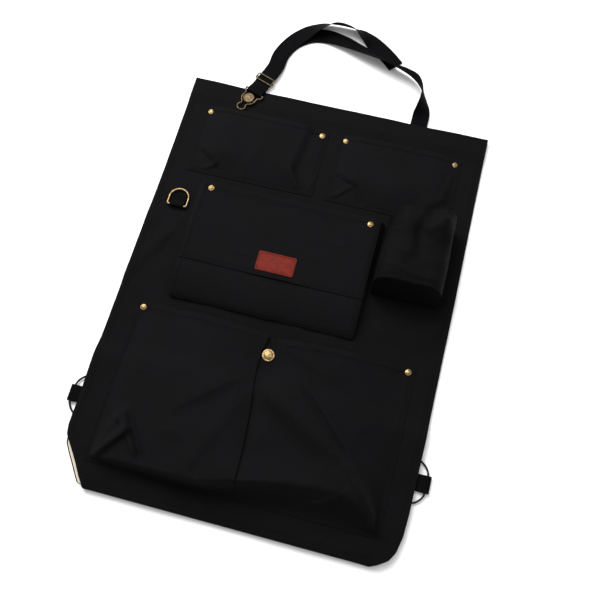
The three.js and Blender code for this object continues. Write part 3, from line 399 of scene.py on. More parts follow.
# ---- materials ----------------------------------------------------------------------------------
class Nodes:
    """Adds shader nodes to a new material and links them."""

    def __init__(self, name):
        self.material = bpy.data.materials.new(name)
        self.material.use_nodes = True
        self.tree = self.material.node_tree
        self.shader = self.tree.nodes["Principled BSDF"]

    def add(self, kind, inputs=(), **settings):
        node = self.tree.nodes.new("ShaderNode" + kind)
        for key, value in settings.items():
            setattr(node, key, value)
        for key, value in dict(inputs).items():
            if isinstance(value, bpy.types.NodeSocket):
                self.tree.links.new(value, node.inputs[key])
            else:
                node.inputs[key].default_value = value
        return node

    def lay(self):
        """The place on the flat cloth."""
        return self.add("Attribute", attribute_name="lay", attribute_type="GEOMETRY").outputs["Vector"]

    def space(self):
        """The place in the object's own space."""
        return self.add("TexCoord").outputs["Object"]

    def scaled(self, place, scale, turn=0.0):
        return self.add("Mapping", {"Vector": place, "Scale": scale, "Rotation": (0, 0, turn)}).outputs[0]

    def split(self, place):
        outputs = self.add("SeparateXYZ", {0: place}).outputs
        return outputs[0], outputs[1]

    def math(self, operation, a, b=0.0):
        return self.add("Math", {0: a, 1: b}, operation=operation).outputs[0]

    def times(self, a, b):
        return self.math("MULTIPLY", a, b)

    def plus(self, a, b):
        return self.math("ADD", a, b)

    def noise(self, vector, scale, detail=4.0, roughness=0.55):
        inputs = {"Vector": vector, "Scale": scale, "Detail": detail, "Roughness": roughness}
        return self.add("TexNoise", inputs).outputs["Fac"]

    def colour(self, tone, stops):
        ramp = self.add("ValToRGB", {"Fac": tone})
        for element, (place, shade) in zip(ramp.color_ramp.elements, stops):
            element.position = place
            element.color = (*shade, 1)
        self.tree.links.new(ramp.outputs["Color"], self.shader.inputs["Base Color"])

    def roughness(self, noise, span, least):
        self.tree.links.new(self.plus(self.times(noise, span), least), self.shader.inputs["Roughness"])

    def bump(self, height, strength, depth):
        """A bump whose depth is in millimetres."""
        node = self.add("Bump", {"Height": height, "Strength": strength, "Distance": depth * MM})
        self.tree.links.new(node.outputs["Normal"], self.shader.inputs["Normal"])

    def done(self, **values):
        """Sets the shader's own sockets and gives back the material."""
        for key, value in values.items():
            self.shader.inputs[key.replace("_", " ")].default_value = value
        return self.material


def woven(name, dark, light, pitch, depth, fuzz=0.008, level=0.05, rough=(0.7, 0.95)):
    """Plain-weave cloth with uneven yarns, faint mottling and a little lint."""
    n = Nodes(name)
    place = n.lay()
    across, along = n.split(place)
    turns = 2 * math.pi / (pitch * MM)
    shift = n.times(n.noise(place, 90.0, 2.0), 2.2)
    warp, weft = (n.math("SINE", n.plus(n.times(run, turns), shift)) for run in (across, along))
    slub = n.plus(n.noise(n.scaled(place, (1400.0, 30.0, 1.0)), 1.0, 1.0),
                  n.noise(n.scaled(place, (30.0, 1400.0, 1.0)), 1.0, 1.0))
    height = n.plus(n.times(n.times(warp, weft), 0.5), n.times(slub, 0.6))
    mottle = n.noise(place, 14.0, 6.0, 0.6)
    n.colour(n.plus(n.times(height, 0.28), n.times(mottle, 0.7)), [(0.25, dark), (0.95, light)])
    n.roughness(mottle, rough[1] - rough[0], rough[0])
    n.bump(height, 0.55, depth)
    return n.done(Specular_IOR_Level=level, Sheen_Weight=fuzz, Sheen_Roughness=0.45)


def ribbed(name, dark, light):
    """Narrow webbing: ribs along its length crossed by fine picks."""
    n = Nodes(name)
    place = n.lay()
    across, along = n.split(place)
    ribs = n.math("SINE", n.times(across, 2 * math.pi / (1.5 * MM)))
    picks = n.math("SINE", n.plus(n.times(along, 2 * math.pi / (1.1 * MM)), n.times(ribs, 1.6)))
    noise = n.noise(place, 60.0, 5.0, 0.6)
    height = n.plus(n.times(ribs, 0.5), n.times(picks, 0.35))
    n.colour(n.plus(n.times(height, 0.3), n.times(noise, 0.8)), [(0.2, dark), (0.95, light)])
    n.roughness(noise, 0.25, 0.5)
    n.bump(height, 0.6, 0.22)
    return n.done(Specular_IOR_Level=0.015, Sheen_Weight=0.001, Sheen_Roughness=0.4)


def thread_material():
    n = Nodes("black_thread")
    noise = n.noise(n.space(), 900.0, 3.0)
    n.colour(noise, [(0.3, (0.0015, 0.0015, 0.0018)), (0.8, (0.004, 0.004, 0.0045))])
    n.roughness(noise, 0.3, 0.4)
    n.bump(noise, 0.4, 0.08)
    return n.done(Specular_IOR_Level=0.03)


def leather_material():
    n = Nodes("label_leather")
    place = n.space()
    cells = n.add("TexVoronoi", {"Vector": place, "Scale": 1100.0}, feature="DISTANCE_TO_EDGE")
    pores = n.math("MINIMUM", n.times(cells.outputs["Distance"], 4.0), 1.0)
    mottle = n.noise(place, 160.0, 6.0, 0.65)
    n.colour(n.plus(n.times(pores, 0.25), n.times(mottle, 0.75)),
             [(0.25, (0.06, 0.006, 0.003)), (0.85, (0.21, 0.017, 0.008))])
    n.roughness(mottle, 0.3, 0.38)
    n.bump(n.plus(pores, n.times(mottle, 0.8)), 0.5, 0.12)
    return n.done(Specular_IOR_Level=0.08)


def brass_material(name, dark, light, rough=0.34):
    """Antique brass: brown tarnish in the low spots, rubbed bright patches and fine scratches."""
    n = Nodes(name)
    place = n.space()
    tarnish = n.noise(place, 420.0, 6.0, 0.65)
    scratch = n.noise(n.scaled(place, (300.0, 4200.0, 300.0), 0.6), 1.0, 3.0)
    n.colour(tarnish, [(0.36, dark), (0.68, light)])
    n.roughness(n.plus(tarnish, scratch), 0.16, rough - 0.08)
    n.bump(n.plus(scratch, n.times(tarnish, 0.7)), 0.25, 0.06)
    return n.done(Metallic=1.0)


def elastic_material():
    n = Nodes("elastic_braid")
    place = n.lay()
    run, turn = n.split(place)
    along = n.times(run, math.pi / (BRAID_PITCH * MM))
    around = n.times(turn, 3000.0)
    braid = n.times(n.math("SINE", n.plus(along, around)), n.math("SINE", n.math("SUBTRACT", along, around)))
    noise = n.noise(place, 200.0, 3.0)
    n.colour(n.plus(n.times(braid, 0.2), noise),
             [(0.3, (0.003, 0.003, 0.0035)), (0.9, (0.012, 0.012, 0.014))])
    n.roughness(noise, 0.3, 0.45)
    n.bump(braid, 0.5, 0.15)
    return n.done(Specular_IOR_Level=0.12)


canvas = woven("black_canvas", (0.0016, 0.0016, 0.0019), (0.005, 0.0048, 0.0056), 0.9, 0.16)
pocket_canvas = woven("black_pocket_canvas", (0.0018, 0.0018, 0.0021), (0.0052, 0.005, 0.0059), 0.9, 0.16)
# The bottle pocket is the panel's own canvas, coloured darker: the darker colours are painted shade.
painted_shade_bottle_canvas = woven("black_bottle_cloth_painted_shade", (0.0015, 0.0015, 0.0016), (0.0042, 0.0042, 0.0045), 0.7, 0.12,
                      fuzz=0.003, level=0.035, rough=(0.6, 0.85))
lining = woven("beige_lining", (0.52, 0.45, 0.36), (0.78, 0.71, 0.6), 0.8, 0.14, fuzz=0.15, level=0.2)
webbing = ribbed("black_webbing", (0.0016, 0.0016, 0.0019), (0.0052, 0.0052, 0.006))
thread = thread_material()
leather = leather_material()
brass = brass_material("antique_brass", (0.1, 0.06, 0.026), (0.44, 0.32, 0.15))
dark_brass = brass_material("dark_brass", (0.03, 0.022, 0.013), (0.17, 0.125, 0.07), 0.42)
elastic = elastic_material()


# ---- levels of the panel ------------------------------------------------------------------------
RING = node_centre("d_ring")
PINS = [RIVETS[n][:2] for n in range(1, 7)]
PINS += [SNAP[:2], BUTTON[:2], RING_TAB[:2], RING[:2], (RING[0], node_box("d_ring")[1][1])]
PINS += [(-HALF, -198), (HALF, -198), (STRAP_X, TOP), (-124, TOP)]

PANEL_FOLDS = [((-216, 60), (-196, 132), 14, 2.4, 0.5), ((-200, 20), (-168, 96), 12, 2.2, 0.5),
               ((-226, -30), (-202, 24), 14, 2.0, 0.5), ((206, -10), (222, 60), 12, 2.0, 0.5),
               ((-60, -28), (40, -40), 16, 1.6, 0.6), ((120, -8), (200, -30), 14, 1.8, 0.6)]


def lift(y):
    return CORD_ROOM * smooth((LIFT_START - y) / LIFT_RUN)


def sway(x, y):
    """How far the panel's cloth stands off the surface it lies on, nothing at its fastenings."""
    amount = 1.6 + 1.5 * ripple(x, y, 190, 11) + 0.5 * ripple(x, y, 70, 5) + 0.6 * crumple(x, y, 80, 14)
    amount = amount + sum(fold(x, y, *line) for line in PANEL_FOLDS)
    for px, py in PINS:
        amount = amount * (1 - np.exp(-((x - px) ** 2 + (y - py) ** 2) / 34.0**2))
    return np.clip(amount, 0, None)


def panel_level(x, y):
    """The middle of the canvas front."""
    hem = HEM_RISE * smooth((y - 268) / 16)
    return FRONT_Z + hem + lift(y) + sway(x, y)


def panel_top(x, y):
    return panel_level(x, y) + CANVAS / 2


LEFT_EDGE = np.array([(-316, -180), (-313, -181), (-297, -192.5), (-285, -200), (-273, -208.5), (-262, -217),
                      (-252, -224), (-240, -226.5), (-146, -227.5), (0, -226), (150, -224.5), (313, -224)])
FLAP_LEFT_EDGE = np.array([(-316, -187), (-313, -188.5), (-297, -200), (-285, -208), (-273, -216.5),
                           (-262, -223.5), (-252, -225), (-230, -225)])
RIGHT_EDGE = np.array([(-316, 184), (-313, 186.5), (-308, 199), (-300, 211), (-288, 218), (-267, 222.5),
                       (-240, 224), (-150, 225.5), (0, 226), (313, 225)])


def edge_at(edge, y):
    return np.interp(y, edge[:, 0], edge[:, 1])


def folded_sheet(levels, fold_centre, radius, flap_z, flap_end, top_y, inset):
    """The grid of a layer that runs down the panel, round the bottom fold and back under it as a flap."""
    down = np.arange(top_y, fold_centre[0], -GRID)
    turn = arc(fold_centre, radius, 90, 270, 10)
    back = np.arange(fold_centre[0] + GRID, flap_end + 0.1, GRID)
    ys = np.concatenate([down, [p[0] for p in turn], back])
    rows = np.linspace(0, 1, int(2 * HALF / GRID))
    left = np.concatenate([edge_at(LEFT_EDGE, down), edge_at(LEFT_EDGE, np.array([p[0] for p in turn])),
                           edge_at(FLAP_LEFT_EDGE, back)])
    right = edge_at(RIGHT_EDGE, ys)
    x = (left + inset) + np.outer(rows, (right - inset) - (left + inset))
    y = np.broadcast_to(ys, x.shape)
    z = np.empty_like(x)
    n = len(down)
    z[:, :n] = levels(x[:, :n], y[:, :n])
    edge = sway(x, y)
    for k, (_, height) in enumerate(turn):
        share = (height - (fold_centre[1] - radius)) / (2 * radius)
        z[:, n + k] = height + edge[:, n + k] * share
    z[:, n + len(turn):] = flap_z + 0.25 * edge[:, n + len(turn):]
    return np.stack([x, y, z], axis=-1)


def make_panel():
    fold_z = (FRONT_Z + CORD_ROOM + CANVAS / 2) / 2
    radius = (FRONT_Z + CORD_ROOM - CANVAS / 2) / 2
    grid = folded_sheet(panel_level, (BOTTOM + fold_z, fold_z), radius, CANVAS / 2, -236, TOP, 0)
    x, y = grid[..., 0], grid[..., 1]
    side = np.minimum(x - grid[:1, :, 0], grid[-1:, :, 0] - x)
    hem = 0.5 * smooth((13 - side) / 3) + 0.5 * smooth((y - HEM_BOTTOM + 1) / 2)
    seam = -0.22 * bell((side - 10) / 1.2) - 0.18 * bell((side - 6.5) / 1.0)
    seam += -0.22 * bell((y - HEM_BOTTOM - 3) / 1.2)
    pucker = 0.16 * ripple(x, y, 9, 21) * smooth((20 - side) / 12)
    relief = (seam + pucker + hem * 0.4) * (grid[..., 2] > 1.2)
    piece = cloth("panel_canvas", grid[::-1], CANVAS * 0.96, canvas, relief[::-1])
    put(piece, "root", "front_panel")

    down = np.arange(-246, 309, 4.0)
    lines = []
    for inset in (6.5, 10):
        for edge, inward in ((LEFT_EDGE, inset), (RIGHT_EDGE, -inset)):
            lines.append([(edge_at(edge, y0) + inward, y0) for y0 in down])
    lines += [[(-HALF + 7, y0), (HALF - 7, y0)] for y0 in (HEM_BOTTOM + 3, HEM_BOTTOM + 6.5, TOP - 4)]
    lines += [[(-180, y0), (190, y0)] for y0 in (BOTTOM + 8, BOTTOM + 11.5)]
    a, b, c, d = [(STRAP_X + dx, y0) for dx, y0 in ((-10, HEM_BOTTOM + 10), (10, HEM_BOTTOM + 10),
                                                    (10, TOP - 8), (-10, TOP - 8))]
    lines += [[a, b, c, d, a], [a, c], [b, d]]
    seams = sew("panel_stitching", above(panel_top, 0.15), lines)
    sheet(grid)

    def lining_level(px, py):
        return panel_level(px, py) - CANVAS - GAP - HEM_RISE * smooth((py - 272) / 9)

    under = folded_sheet(lining_level, (BOTTOM + fold_z, fold_z), radius - CANVAS - GAP, CANVAS * 1.5 + GAP,
                         -236, HEM_BOTTOM - GAP, 2.2)
    inner = cloth("panel_lining", under[::-1], CANVAS * 0.96, lining)
    put(inner, "root", "back_lining")
    sheet(under)

    xs = np.arange(-HALF + 2, HALF - 1.9, GRID * 2)
    ys = np.arange(HEM_BOTTOM, TOP + 0.1, GRID)
    fx, fy = np.meshgrid(xs, ys, indexing="ij")
    facing = np.stack([fx, fy, 0.4 + sway(fx, fy)], axis=-1)
    strip = cloth("hem_facing", facing, 0.76, canvas)
    put(strip, "root", "top_hem_facing")
    sheet(facing)


# ---- upper patch pockets ------------------------------------------------------------------------
def make_upper_pocket(name, node, ledges, folds, seed):
    low, high = node_box(node)
    (x0, y0), (x1, y1) = low[:2], high[:2]

    def level(x, y):
        side = np.minimum(x - x0, x1 - x)
        up = y1 - y
        body = smooth((side - 5) / 34) ** 0.6 * smooth((y - y0 - 4) / 40) ** 0.6
        puff = body * (6.4 + 0.8 * ripple(x, y, 90, seed) + 0.4 * crumple(x, y, 55, seed + 2))
        puff = puff * (1 - 0.12 * smooth((30 - up) / 30))
        for share, width, first, second in ledges:
            low_part = np.minimum(beyond(x, y, *first, 3.2), beyond(x, y, *second, width))
            puff = puff - share * puff * low_part
        detail = sum(fold(x, y, *line) for line in folds) * smooth((side - 5) / 7) * smooth((y - y0 - 4) / 7)
        hem = 0.3 * smooth((10 - up) / 3)
        return panel_top(x, y) + GAP + POCKET_CLOTH / 2 + puff + detail + hem * 0.4

    x, y = plane_grid(x0, x1, int((x1 - x0) / 1.3), y0, y1, int((y1 - y0) / 1.3))
    grid = np.stack([x, y, level(x, y)], axis=-1)
    side = np.minimum(x - x0, x1 - x)
    relief = -0.2 * bell(side - 3.2) - 0.2 * bell(y - y0 - 3.2)
    relief = relief - 0.22 * bell(y1 - y - 9) + 0.25 * smooth((9 - (y1 - y)) / 1.5)
    piece = cloth(name, grid, POCKET_CLOTH * 0.96, pocket_canvas, relief)
    put(piece, "root", node)
    lines = [[(x0 + inset, y1 - 1), (x0 + inset, y0 + inset), (x1 - inset, y0 + inset), (x1 - inset, y1 - 1)]
             for inset in SEAM_ROWS]
    lines.append([(x0 + 8, y1 - 9), (x1 - 8, y1 - 9)])
    seams = sew(name + "_stitching", above(level, POCKET_CLOTH / 2 + 0.05), lines)
    sheet(grid)


# ---- middle pocket ------------------------------------------------------------------------------
def make_middle_pocket():
    low, high = node_box("middle_pocket_front")
    band_low, band_high = node_box("middle_pocket_lower_band")
    gusset_low, gusset_high = node_box("middle_pocket_gusset")
    x0, x1, seam, mouth, end = low[0], high[0], low[1], high[1], band_low[1]
    label_box = node_box("leather_label")
    label_x, label_y = (label_box[0][:2] + label_box[1][:2]) / 2

    def foot_drop(foot):
        """How far the face comes down to the panel near its lower end."""
        return 10.0 * np.clip(1 - foot / 46, 0, 1) ** 2

    def sag(x, y):
        """The face dips between its edges, and its sides and foot roll down to the gusset."""
        side = np.minimum(x - x0, x1 - x)
        foot = y - end
        middle = smooth(side / 70) * smooth(foot / 60)
        rolled = 0.9 * (1 - smooth(side / 4)) + 0.9 * (1 - smooth(foot / 4)) + foot_drop(foot)
        dip = -1.4 * middle * (1 + 0.5 * ripple(x, y, 130, 31)) + 0.7 * crumple(x, y, 60, 33) * middle
        near_label = np.exp(-(((x - label_x) / 34) ** 4 + ((y - label_y) / 24) ** 4))
        return dip * (1 - near_label) - 1.2 * near_label - rolled

    def front_level(x, y):
        gape = 1.6 * bell((x - label_x - 4) / 34) * smooth((seam + 11 - y) / 10)
        return low[2] + 0.5 + sag(x, y) + gape

    def band_level(x, y):
        return band_low[2] + 0.5 + sag(x, y)

    def face(name, node, level, y_low, y_high, seed):
        x, y = plane_grid(x0, x1, int((x1 - x0) / GRID), y_low, y_high, int((y_high - y_low) / 1.6))
        grid = np.stack([x, y, level(x, y)], axis=-1)
        side = np.minimum(x - x0, x1 - x)
        relief = -0.2 * bell(side - 3.2) - 0.18 * bell(side - 6.4)
        relief = relief + 0.1 * ripple(x, y, 8, seed) * smooth((12 - side) / 8)
        if y_high == mouth:
            relief = relief - 0.25 * bell(mouth - y - 9) + 0.15 * smooth((9 - mouth + y) / 1.5)
        piece = cloth(name, grid, CANVAS * 0.96, pocket_canvas, relief)
        put(piece, "root", node)
        return piece, grid

    band, band_grid = face("middle_pocket_band_cloth", "middle_pocket_lower_band", band_level,
                           end, band_high[1], 41)
    front, front_grid = face("middle_pocket_front_cloth", "middle_pocket_front", front_level, seam, mouth, 43)

    top, below = (above(level, CANVAS / 2 + 0.05) for level in (front_level, band_level))
    rows = []
    for inset in SEAM_ROWS:
        left, right = x0 + inset, x1 - inset
        rows += [on_surface(top, [(left, mouth - 1), (left, seam + 1)]),
                 on_surface(top, [(right, mouth - 1), (right, seam + 1)]),
                 on_surface(below, [(left, seam - 2), (left, end + inset), (right, end + inset),
                                    (right, seam - 2)]),
                 on_surface(top, [(x0 + 2, seam + inset), (x1 - 2, seam + inset)]),
                 on_surface(top, [(x0 + 2, mouth - 6 - inset), (x1 - 2, mouth - 6 - inset)])]
    seams = put(stitches("middle_pocket_stitching", rows), "root")
    sheet(front_grid)
    sheet(band_grid)

    # The gusset stands between the panel and the face, and its foot flares out toward the mouth.
    z0, z1 = gusset_low[2], gusset_high[2]
    rim = respace([(x0 + 0.6, mouth), (x0 + 0.6, end + 6), (x0 + 2.4, end + 2.4), (x0 + 6, end + 0.6),
                   (x1 - 6, end + 0.6), (x1 - 2.4, end + 2.4), (x1 - 0.6, end + 6), (x1 - 0.6, mouth)], GRID)
    steps = np.linspace(0, 1, 13)
    height = (rim[:, 1] - end) / (mouth - end)
    flare = np.where(rim[:, 0] < 0, -8.5, 6.0) * smooth(height * 1.1)
    flare = np.where((rim[:, 0] > x0 + 3) & (rim[:, 0] < x1 - 3), 0, flare)
    on_side = flare != 0
    outward = np.stack([np.sign(rim[:, 0] - (x0 + x1) / 2) * on_side, np.where(on_side, 0.0, -1.0)], axis=1)
    middle = np.empty((len(rim), len(steps), 3))
    for k, t in enumerate(steps):
        foot = 1 - t
        bulge = 1.5 * math.sin(math.pi * t) + 0.5 * ripple(rim[:, 0], rim[:, 1] + 40 * t, 30, 47)
        inward = 0.8 * (t > 0.85)
        middle[:, k, 0] = rim[:, 0] + flare * foot**1.4 + outward[:, 0] * (bulge - inward)
        middle[:, k, 1] = rim[:, 1] + outward[:, 1] * (bulge - inward)
        middle[:, k, 2] = z0 + 0.5 + (z1 - z0 - 1.0 - foot_drop(rim[:, 1] - end)) * t
    middle[:, 0, 2] = panel_top(middle[:, 0, 0], middle[:, 0, 1]) + 0.3
    gusset = cloth("middle_pocket_gusset_cloth", middle, 1.1, pocket_canvas)
    put(gusset, "root", "middle_pocket_gusset")
    sheet(middle)
    make_label(label_box, top)


def make_label(label_box, surface):
    """A leather label with rounded corners, a pressed border and a row of stitches. It carries no mark."""
    (x0, y0, z0), (x1, y1, z1) = label_box
    x, y = plane_grid(x0, x1, 110, y0, y1, 60)
    corner = 3.0
    cx = np.clip(x, x0 + corner, x1 - corner)
    cy = np.clip(y, y0 + corner, y1 - corner)
    reach = np.maximum(np.maximum(np.abs(x - cx), np.abs(y - cy)), 1e-6)
    round_off = reach / np.maximum(np.hypot(x - cx, y - cy), 1e-6)
    x = cx + (x - cx) * np.minimum(round_off, 1)
    y = cy + (y - cy) * np.minimum(round_off, 1)
    side = np.minimum(np.minimum(x - x0, x1 - x), np.minimum(y - y0, y1 - y))
    z = surface(x, y) + 0.15 + 0.65
    relief = -0.28 * bell((side - 4.2) / 0.55) - 0.12 * bell((side - 2.0) / 0.7)
    relief += 0.05 * ripple(x, y, 7, 51) - 0.25 * (1 - smooth(side / 0.9))
    grid = np.stack([x, y, z], axis=-1)
    piece = cloth("label_patch", grid, 1.2, leather, relief)
    put(piece, "root", "leather_label")
    left, low, right, high = x0 + 2, y0 + 2, x1 - 2, y1 - 2
    sew("label_stitching", above(surface, 1.4),
        [[(left, low), (right, low), (right, high), (left, high), (left, low)]])


# ---- bottle pocket ------------------------------------------------------------------------------
def make_bottle_pocket():
    low, high = node_box("bottle_pocket_wall")
    x0, x1 = low[0] + 0.6, high[0] - 0.6
    y0, y1 = low[1], high[1]
    z0, depth = low[2] + 0.6, high[2] - low[2] - 1.2
    foot, corner = 11, 24
    section = [(x0 + foot, z0), (x0 + 3, z0), (x0 + 0.8, z0 + 0.8), (x0, z0 + 3)]
    section += arc((x0 + corner, z0 + depth - corner), corner, 180, 90, 12)
    section += arc((x1 - corner, z0 + depth - corner), corner, 90, 0, 12)
    section += [(x1, z0 + 3), (x1 - 0.8, z0 + 0.8), (x1 - 3, z0), (x1 - foot, z0)]
    section = respace(section, 1.9)
    sx, sz = section[:, 0][:, None], section[:, 1][:, None]
    t = np.linspace(0, 1, 68)[None, :]
    x_middle = (x0 + x1) / 2
    above = np.clip((sz - z0) / depth, 0, 1)
    width = 1 - 0.13 * smooth((t - 0.35) / 0.6) * above**0.7
    lean = 4.5 * smooth((t - 0.4) / 0.6) * above
    sunk = 1 - above * (0.10 * bell((t - 0.55) / 0.22) + 0.12 * smooth((t - 0.72) / 0.28)
                        + 0.05 * (1 - smooth(t / 0.1)))
    x = x_middle + (sx - x_middle) * width + lean
    z = z0 + (sz - z0) * sunk
    mouth = y1 - 2 + 9 * smooth((sx - x0) / (x1 - x0)) * above
    base = y0 + 8 * above
    y = base + (mouth - base) * t
    soft = above**0.5 * smooth(t / 0.08)
    dents = [((176, 170), (150, 112), 11, -3.0, 0.7), ((158, 128), (168, 76), 12, -2.4, 0.7),
             ((192, 150), (166, 120), 9, 2.4, 0.5), ((184, 112), (196, 158), 8, 2.2, 0.6),
             ((128, 62), (188, 54), 6, 2.2, 0.5), ((150, 78), (148, 126), 9, 1.8, 0.6),
             ((186, 66), (130, 82), 8, -2.0, 0.7)]
    z = z + soft * sum(fold(x, y, *dent) for dent in dents)
    z = z + soft * (1.2 * ripple(x, y, 46, 61) + 1.0 * crumple(x, y, 34, 62) - 0.8)
    x = x + soft * np.where(above < 0.8, 1.6 * ripple(z * 1.5, y, 50, 63), 0) * np.clip(1.1 - above, 0, 1)
    z = np.clip(z, z0, high[2] - 0.7)
    middle = np.stack([x, y, z], axis=-1)
    hem = np.broadcast_to(0.25 * smooth((t - 0.93) / 0.02), middle.shape[:2])
    # The wall and base use the darker bottle cloth, whose colours are painted shade.
    pocket = cloth("bottle_pocket_cloth", middle[:, ::-1], 1.1, painted_shade_bottle_canvas, hem[:, ::-1])
    put(pocket, "root", "bottle_pocket_wall")

    normal = unit(np.cross(np.gradient(middle, axis=1), np.gradient(middle, axis=0)))
    rows = [(middle[3:-3, column] + normal[3:-3, column] * 0.6, normal[3:-3, column]) for column in (-5, 3)]
    seams = put(stitches("bottle_pocket_stitching", rows), "root")
    sheet(middle)

    # The base closes the lower end, and its rim follows the wall's lower edge just inside it.
    rim = middle[:, 1]
    keep_rows = np.where(rim[:, 2] > z0 + 0.4)[0]
    rim = rim[keep_rows[0]: keep_rows[-1] + 1]
    heights = np.linspace(0, 1, 26)
    centre_x = rim[:, 0].mean()
    cover = np.empty((len(rim), len(heights), 3))
    for k, share in enumerate(heights):
        cover[:, k, 0] = centre_x + (rim[:, 0] - centre_x) * (0.02 + 0.97 * share)
        cover[:, k, 2] = z0 + 1 + (rim[:, 2] - z0 - 1) * (0.02 + 0.97 * share)
        dome = 2.2 * (1 - share**2)
        cover[:, k, 1] = y0 - 0.2 + 8 * (cover[:, k, 2] - z0) / depth - dome
    base_piece = cloth("bottle_pocket_base_cloth", cover, 1.0, painted_shade_bottle_canvas)
    put(base_piece, "root", "bottle_pocket_base")
    sheet(cover)


# ---- bottom pocket ------------------------------------------------------------------------------
POCKET_END, MOUTH = node_box("bottom_pocket_left")[0][1], node_box("bottom_pocket_left")[1][1]
POCKET_HALF = node_box("bottom_pocket_right")[1][0]
BULGE_EDGE = np.array([(-195, -280), (-179, -282), (-140, -278), (-109, -275), (-66, -274), (-35, -269),
                       (0, -260), (36, -252), (71, -245), (107, -241), (139, -241), (158, -247), (176, -259),
                       (187, -276), (195, -284)])
RIDGE = np.array([(-278, 190), (-262, 184), (-228, 159), (-193, 128), (-162, 94), (-128, 59), (-112, 42),
                  (-86, 16), (-52, -10)])


def softened(t):
    """A straight rise to 1 whose top corner is slightly rounded."""
    return 1 - np.log1p(np.exp(np.clip((1 - t) * 14, -40, 40))) / 14


def pocket_swell(x, y):
    """How far the bottom pocket's face stands off the panel."""
    down = (MOUTH - y) / (MOUTH - POCKET_END)
    tall = (5 + 31 * np.clip(down, 0, 1) ** 0.8) * (0.64 + 0.36 * smooth((x + 170) / 210))
    edge = np.interp(x, BULGE_EDGE[:, 0], BULGE_EDGE[:, 1])
    climb = np.clip((y - POCKET_END - 2) / np.maximum(edge - POCKET_END - 2, 6), 0, 4)
    wall = np.clip(softened(climb**1.6), 0, 1)
    from_left = np.clip(x + POCKET_HALF - 7, 0, None)
    left = 1 - 0.72 * np.exp(-from_left / 30) - 0.28 * np.exp(-from_left / 8)
    ridge = np.interp(y, RIDGE[:, 0], RIDGE[:, 1])
    slope = (POCKET_HALF - 6 - x) / np.maximum(POCKET_HALF - 6 - ridge, 9)
    right = np.clip(softened(np.clip(slope, 0, 4) ** 1.4), 0, 1)
    valley = beyond(x, y, (0, -140), (112, -212), 34) * bell((x - 40) / 60)
    centre = 1 - 0.22 * valley * smooth((y + 262) / 50)
    snap = np.hypot((x - SNAP[0]) / 1.3, y - SNAP[1])
    lip = bell((y - MOUTH) / 55)
    gape = 2.4 * lip * bell((np.abs(x) - 100) / 45)
    rivet = 1 - np.exp(-((POCKET_HALF - 9 - np.abs(x)) ** 2 + (y - RIVETS[5][1]) ** 2) / 18.0**2)
    body = (tall * wall * left * right * centre + gape) * rivet
    corner = np.exp(-(((x - 184) / 34) ** 2 + ((y + 268) / 30) ** 2))
    body = body * (1 - 0.3 * corner)
    held = bell(snap / 34)
    return body * (1 - held) + 6.9 * held


def pocket_creases(x, y):
    lines = [((-178, -272), (-143, -229), 10, 7.5, 0.3), ((-150, -211), (-115, -264), 5, -4.6, 0.5),
             ((-160, -208), (-128, -258), 8, 4.4, 0.4), ((-170, -215), (-141, -233), 6, 3.6, 0.4),
             ((-190, -276), (-152, -198), 8, 2.2, 0.6), ((-100, -190), (-18, -120), 20, 3.4, 0.4),
             ((8, -136), (120, -196), 26, 5.0, 0.5), ((56, -118), (136, -199), 4.5, -7.0, 0.9),
             ((50, -110), (140, -196), 9, 2.4, 0.6), ((136, -160), (188, -110), 18, 4.0, 0.4),
             ((15, -68), (96, -100), 16, 2.6, 0.5), ((128, -200), (184, -262), 8, 3.0, 0.5),
             ((-60, -262), (-14, -150), 18, 2.4, 0.5), ((140, -242), (100, -262), 7, 2.4, 0.5),
             ((60, -270), (168, -276), 9, 2.6, 0.5), ((-20, -280), (60, -282), 6, 1.6, 0.5)]
    total = sum(fold(x, y, *line) for line in lines)
    return total + 0.8 * ripple(x, y, 80, 71) + 0.5 * crumple(x, y, 60, 72)


def pocket_level(x, y):
    swell = pocket_swell(x, y)
    soft = smooth(swell / 12)
    return panel_top(x, y) + GAP + POCKET_CLOTH / 2 + swell + pocket_creases(x, y) * soft


LEFT_FOLD = np.array([(-284, 7), (-262, 6.6), (-250, 6), (-205, 3), (-160, -2), (-130, -7), (-108, -10),
                      (-94, -10.2), (-78, -10.2), (-70, -8), (-52, -5)])
RIGHT_FOLD = np.array([(-284, 7.5), (-262, 7.2), (-250, 7.6), (-205, 5), (-160, 1), (-130, 1), (-108, 8),
                       (-94, 10.2), (-78, 10.2), (-70, 8), (-52, 5)])


def blend_to_snap(piece):
    """Bakes the piece's transform into its mesh."""
    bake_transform(piece)


def mouth_dip(x, y):
    """The mouth hangs lower toward the snap."""
    reach = np.where(x < 8, 45, 70)
    return 8.5 * np.exp(-np.abs(x - 8) / reach) * smooth((y - MOUTH + 60) / 60)


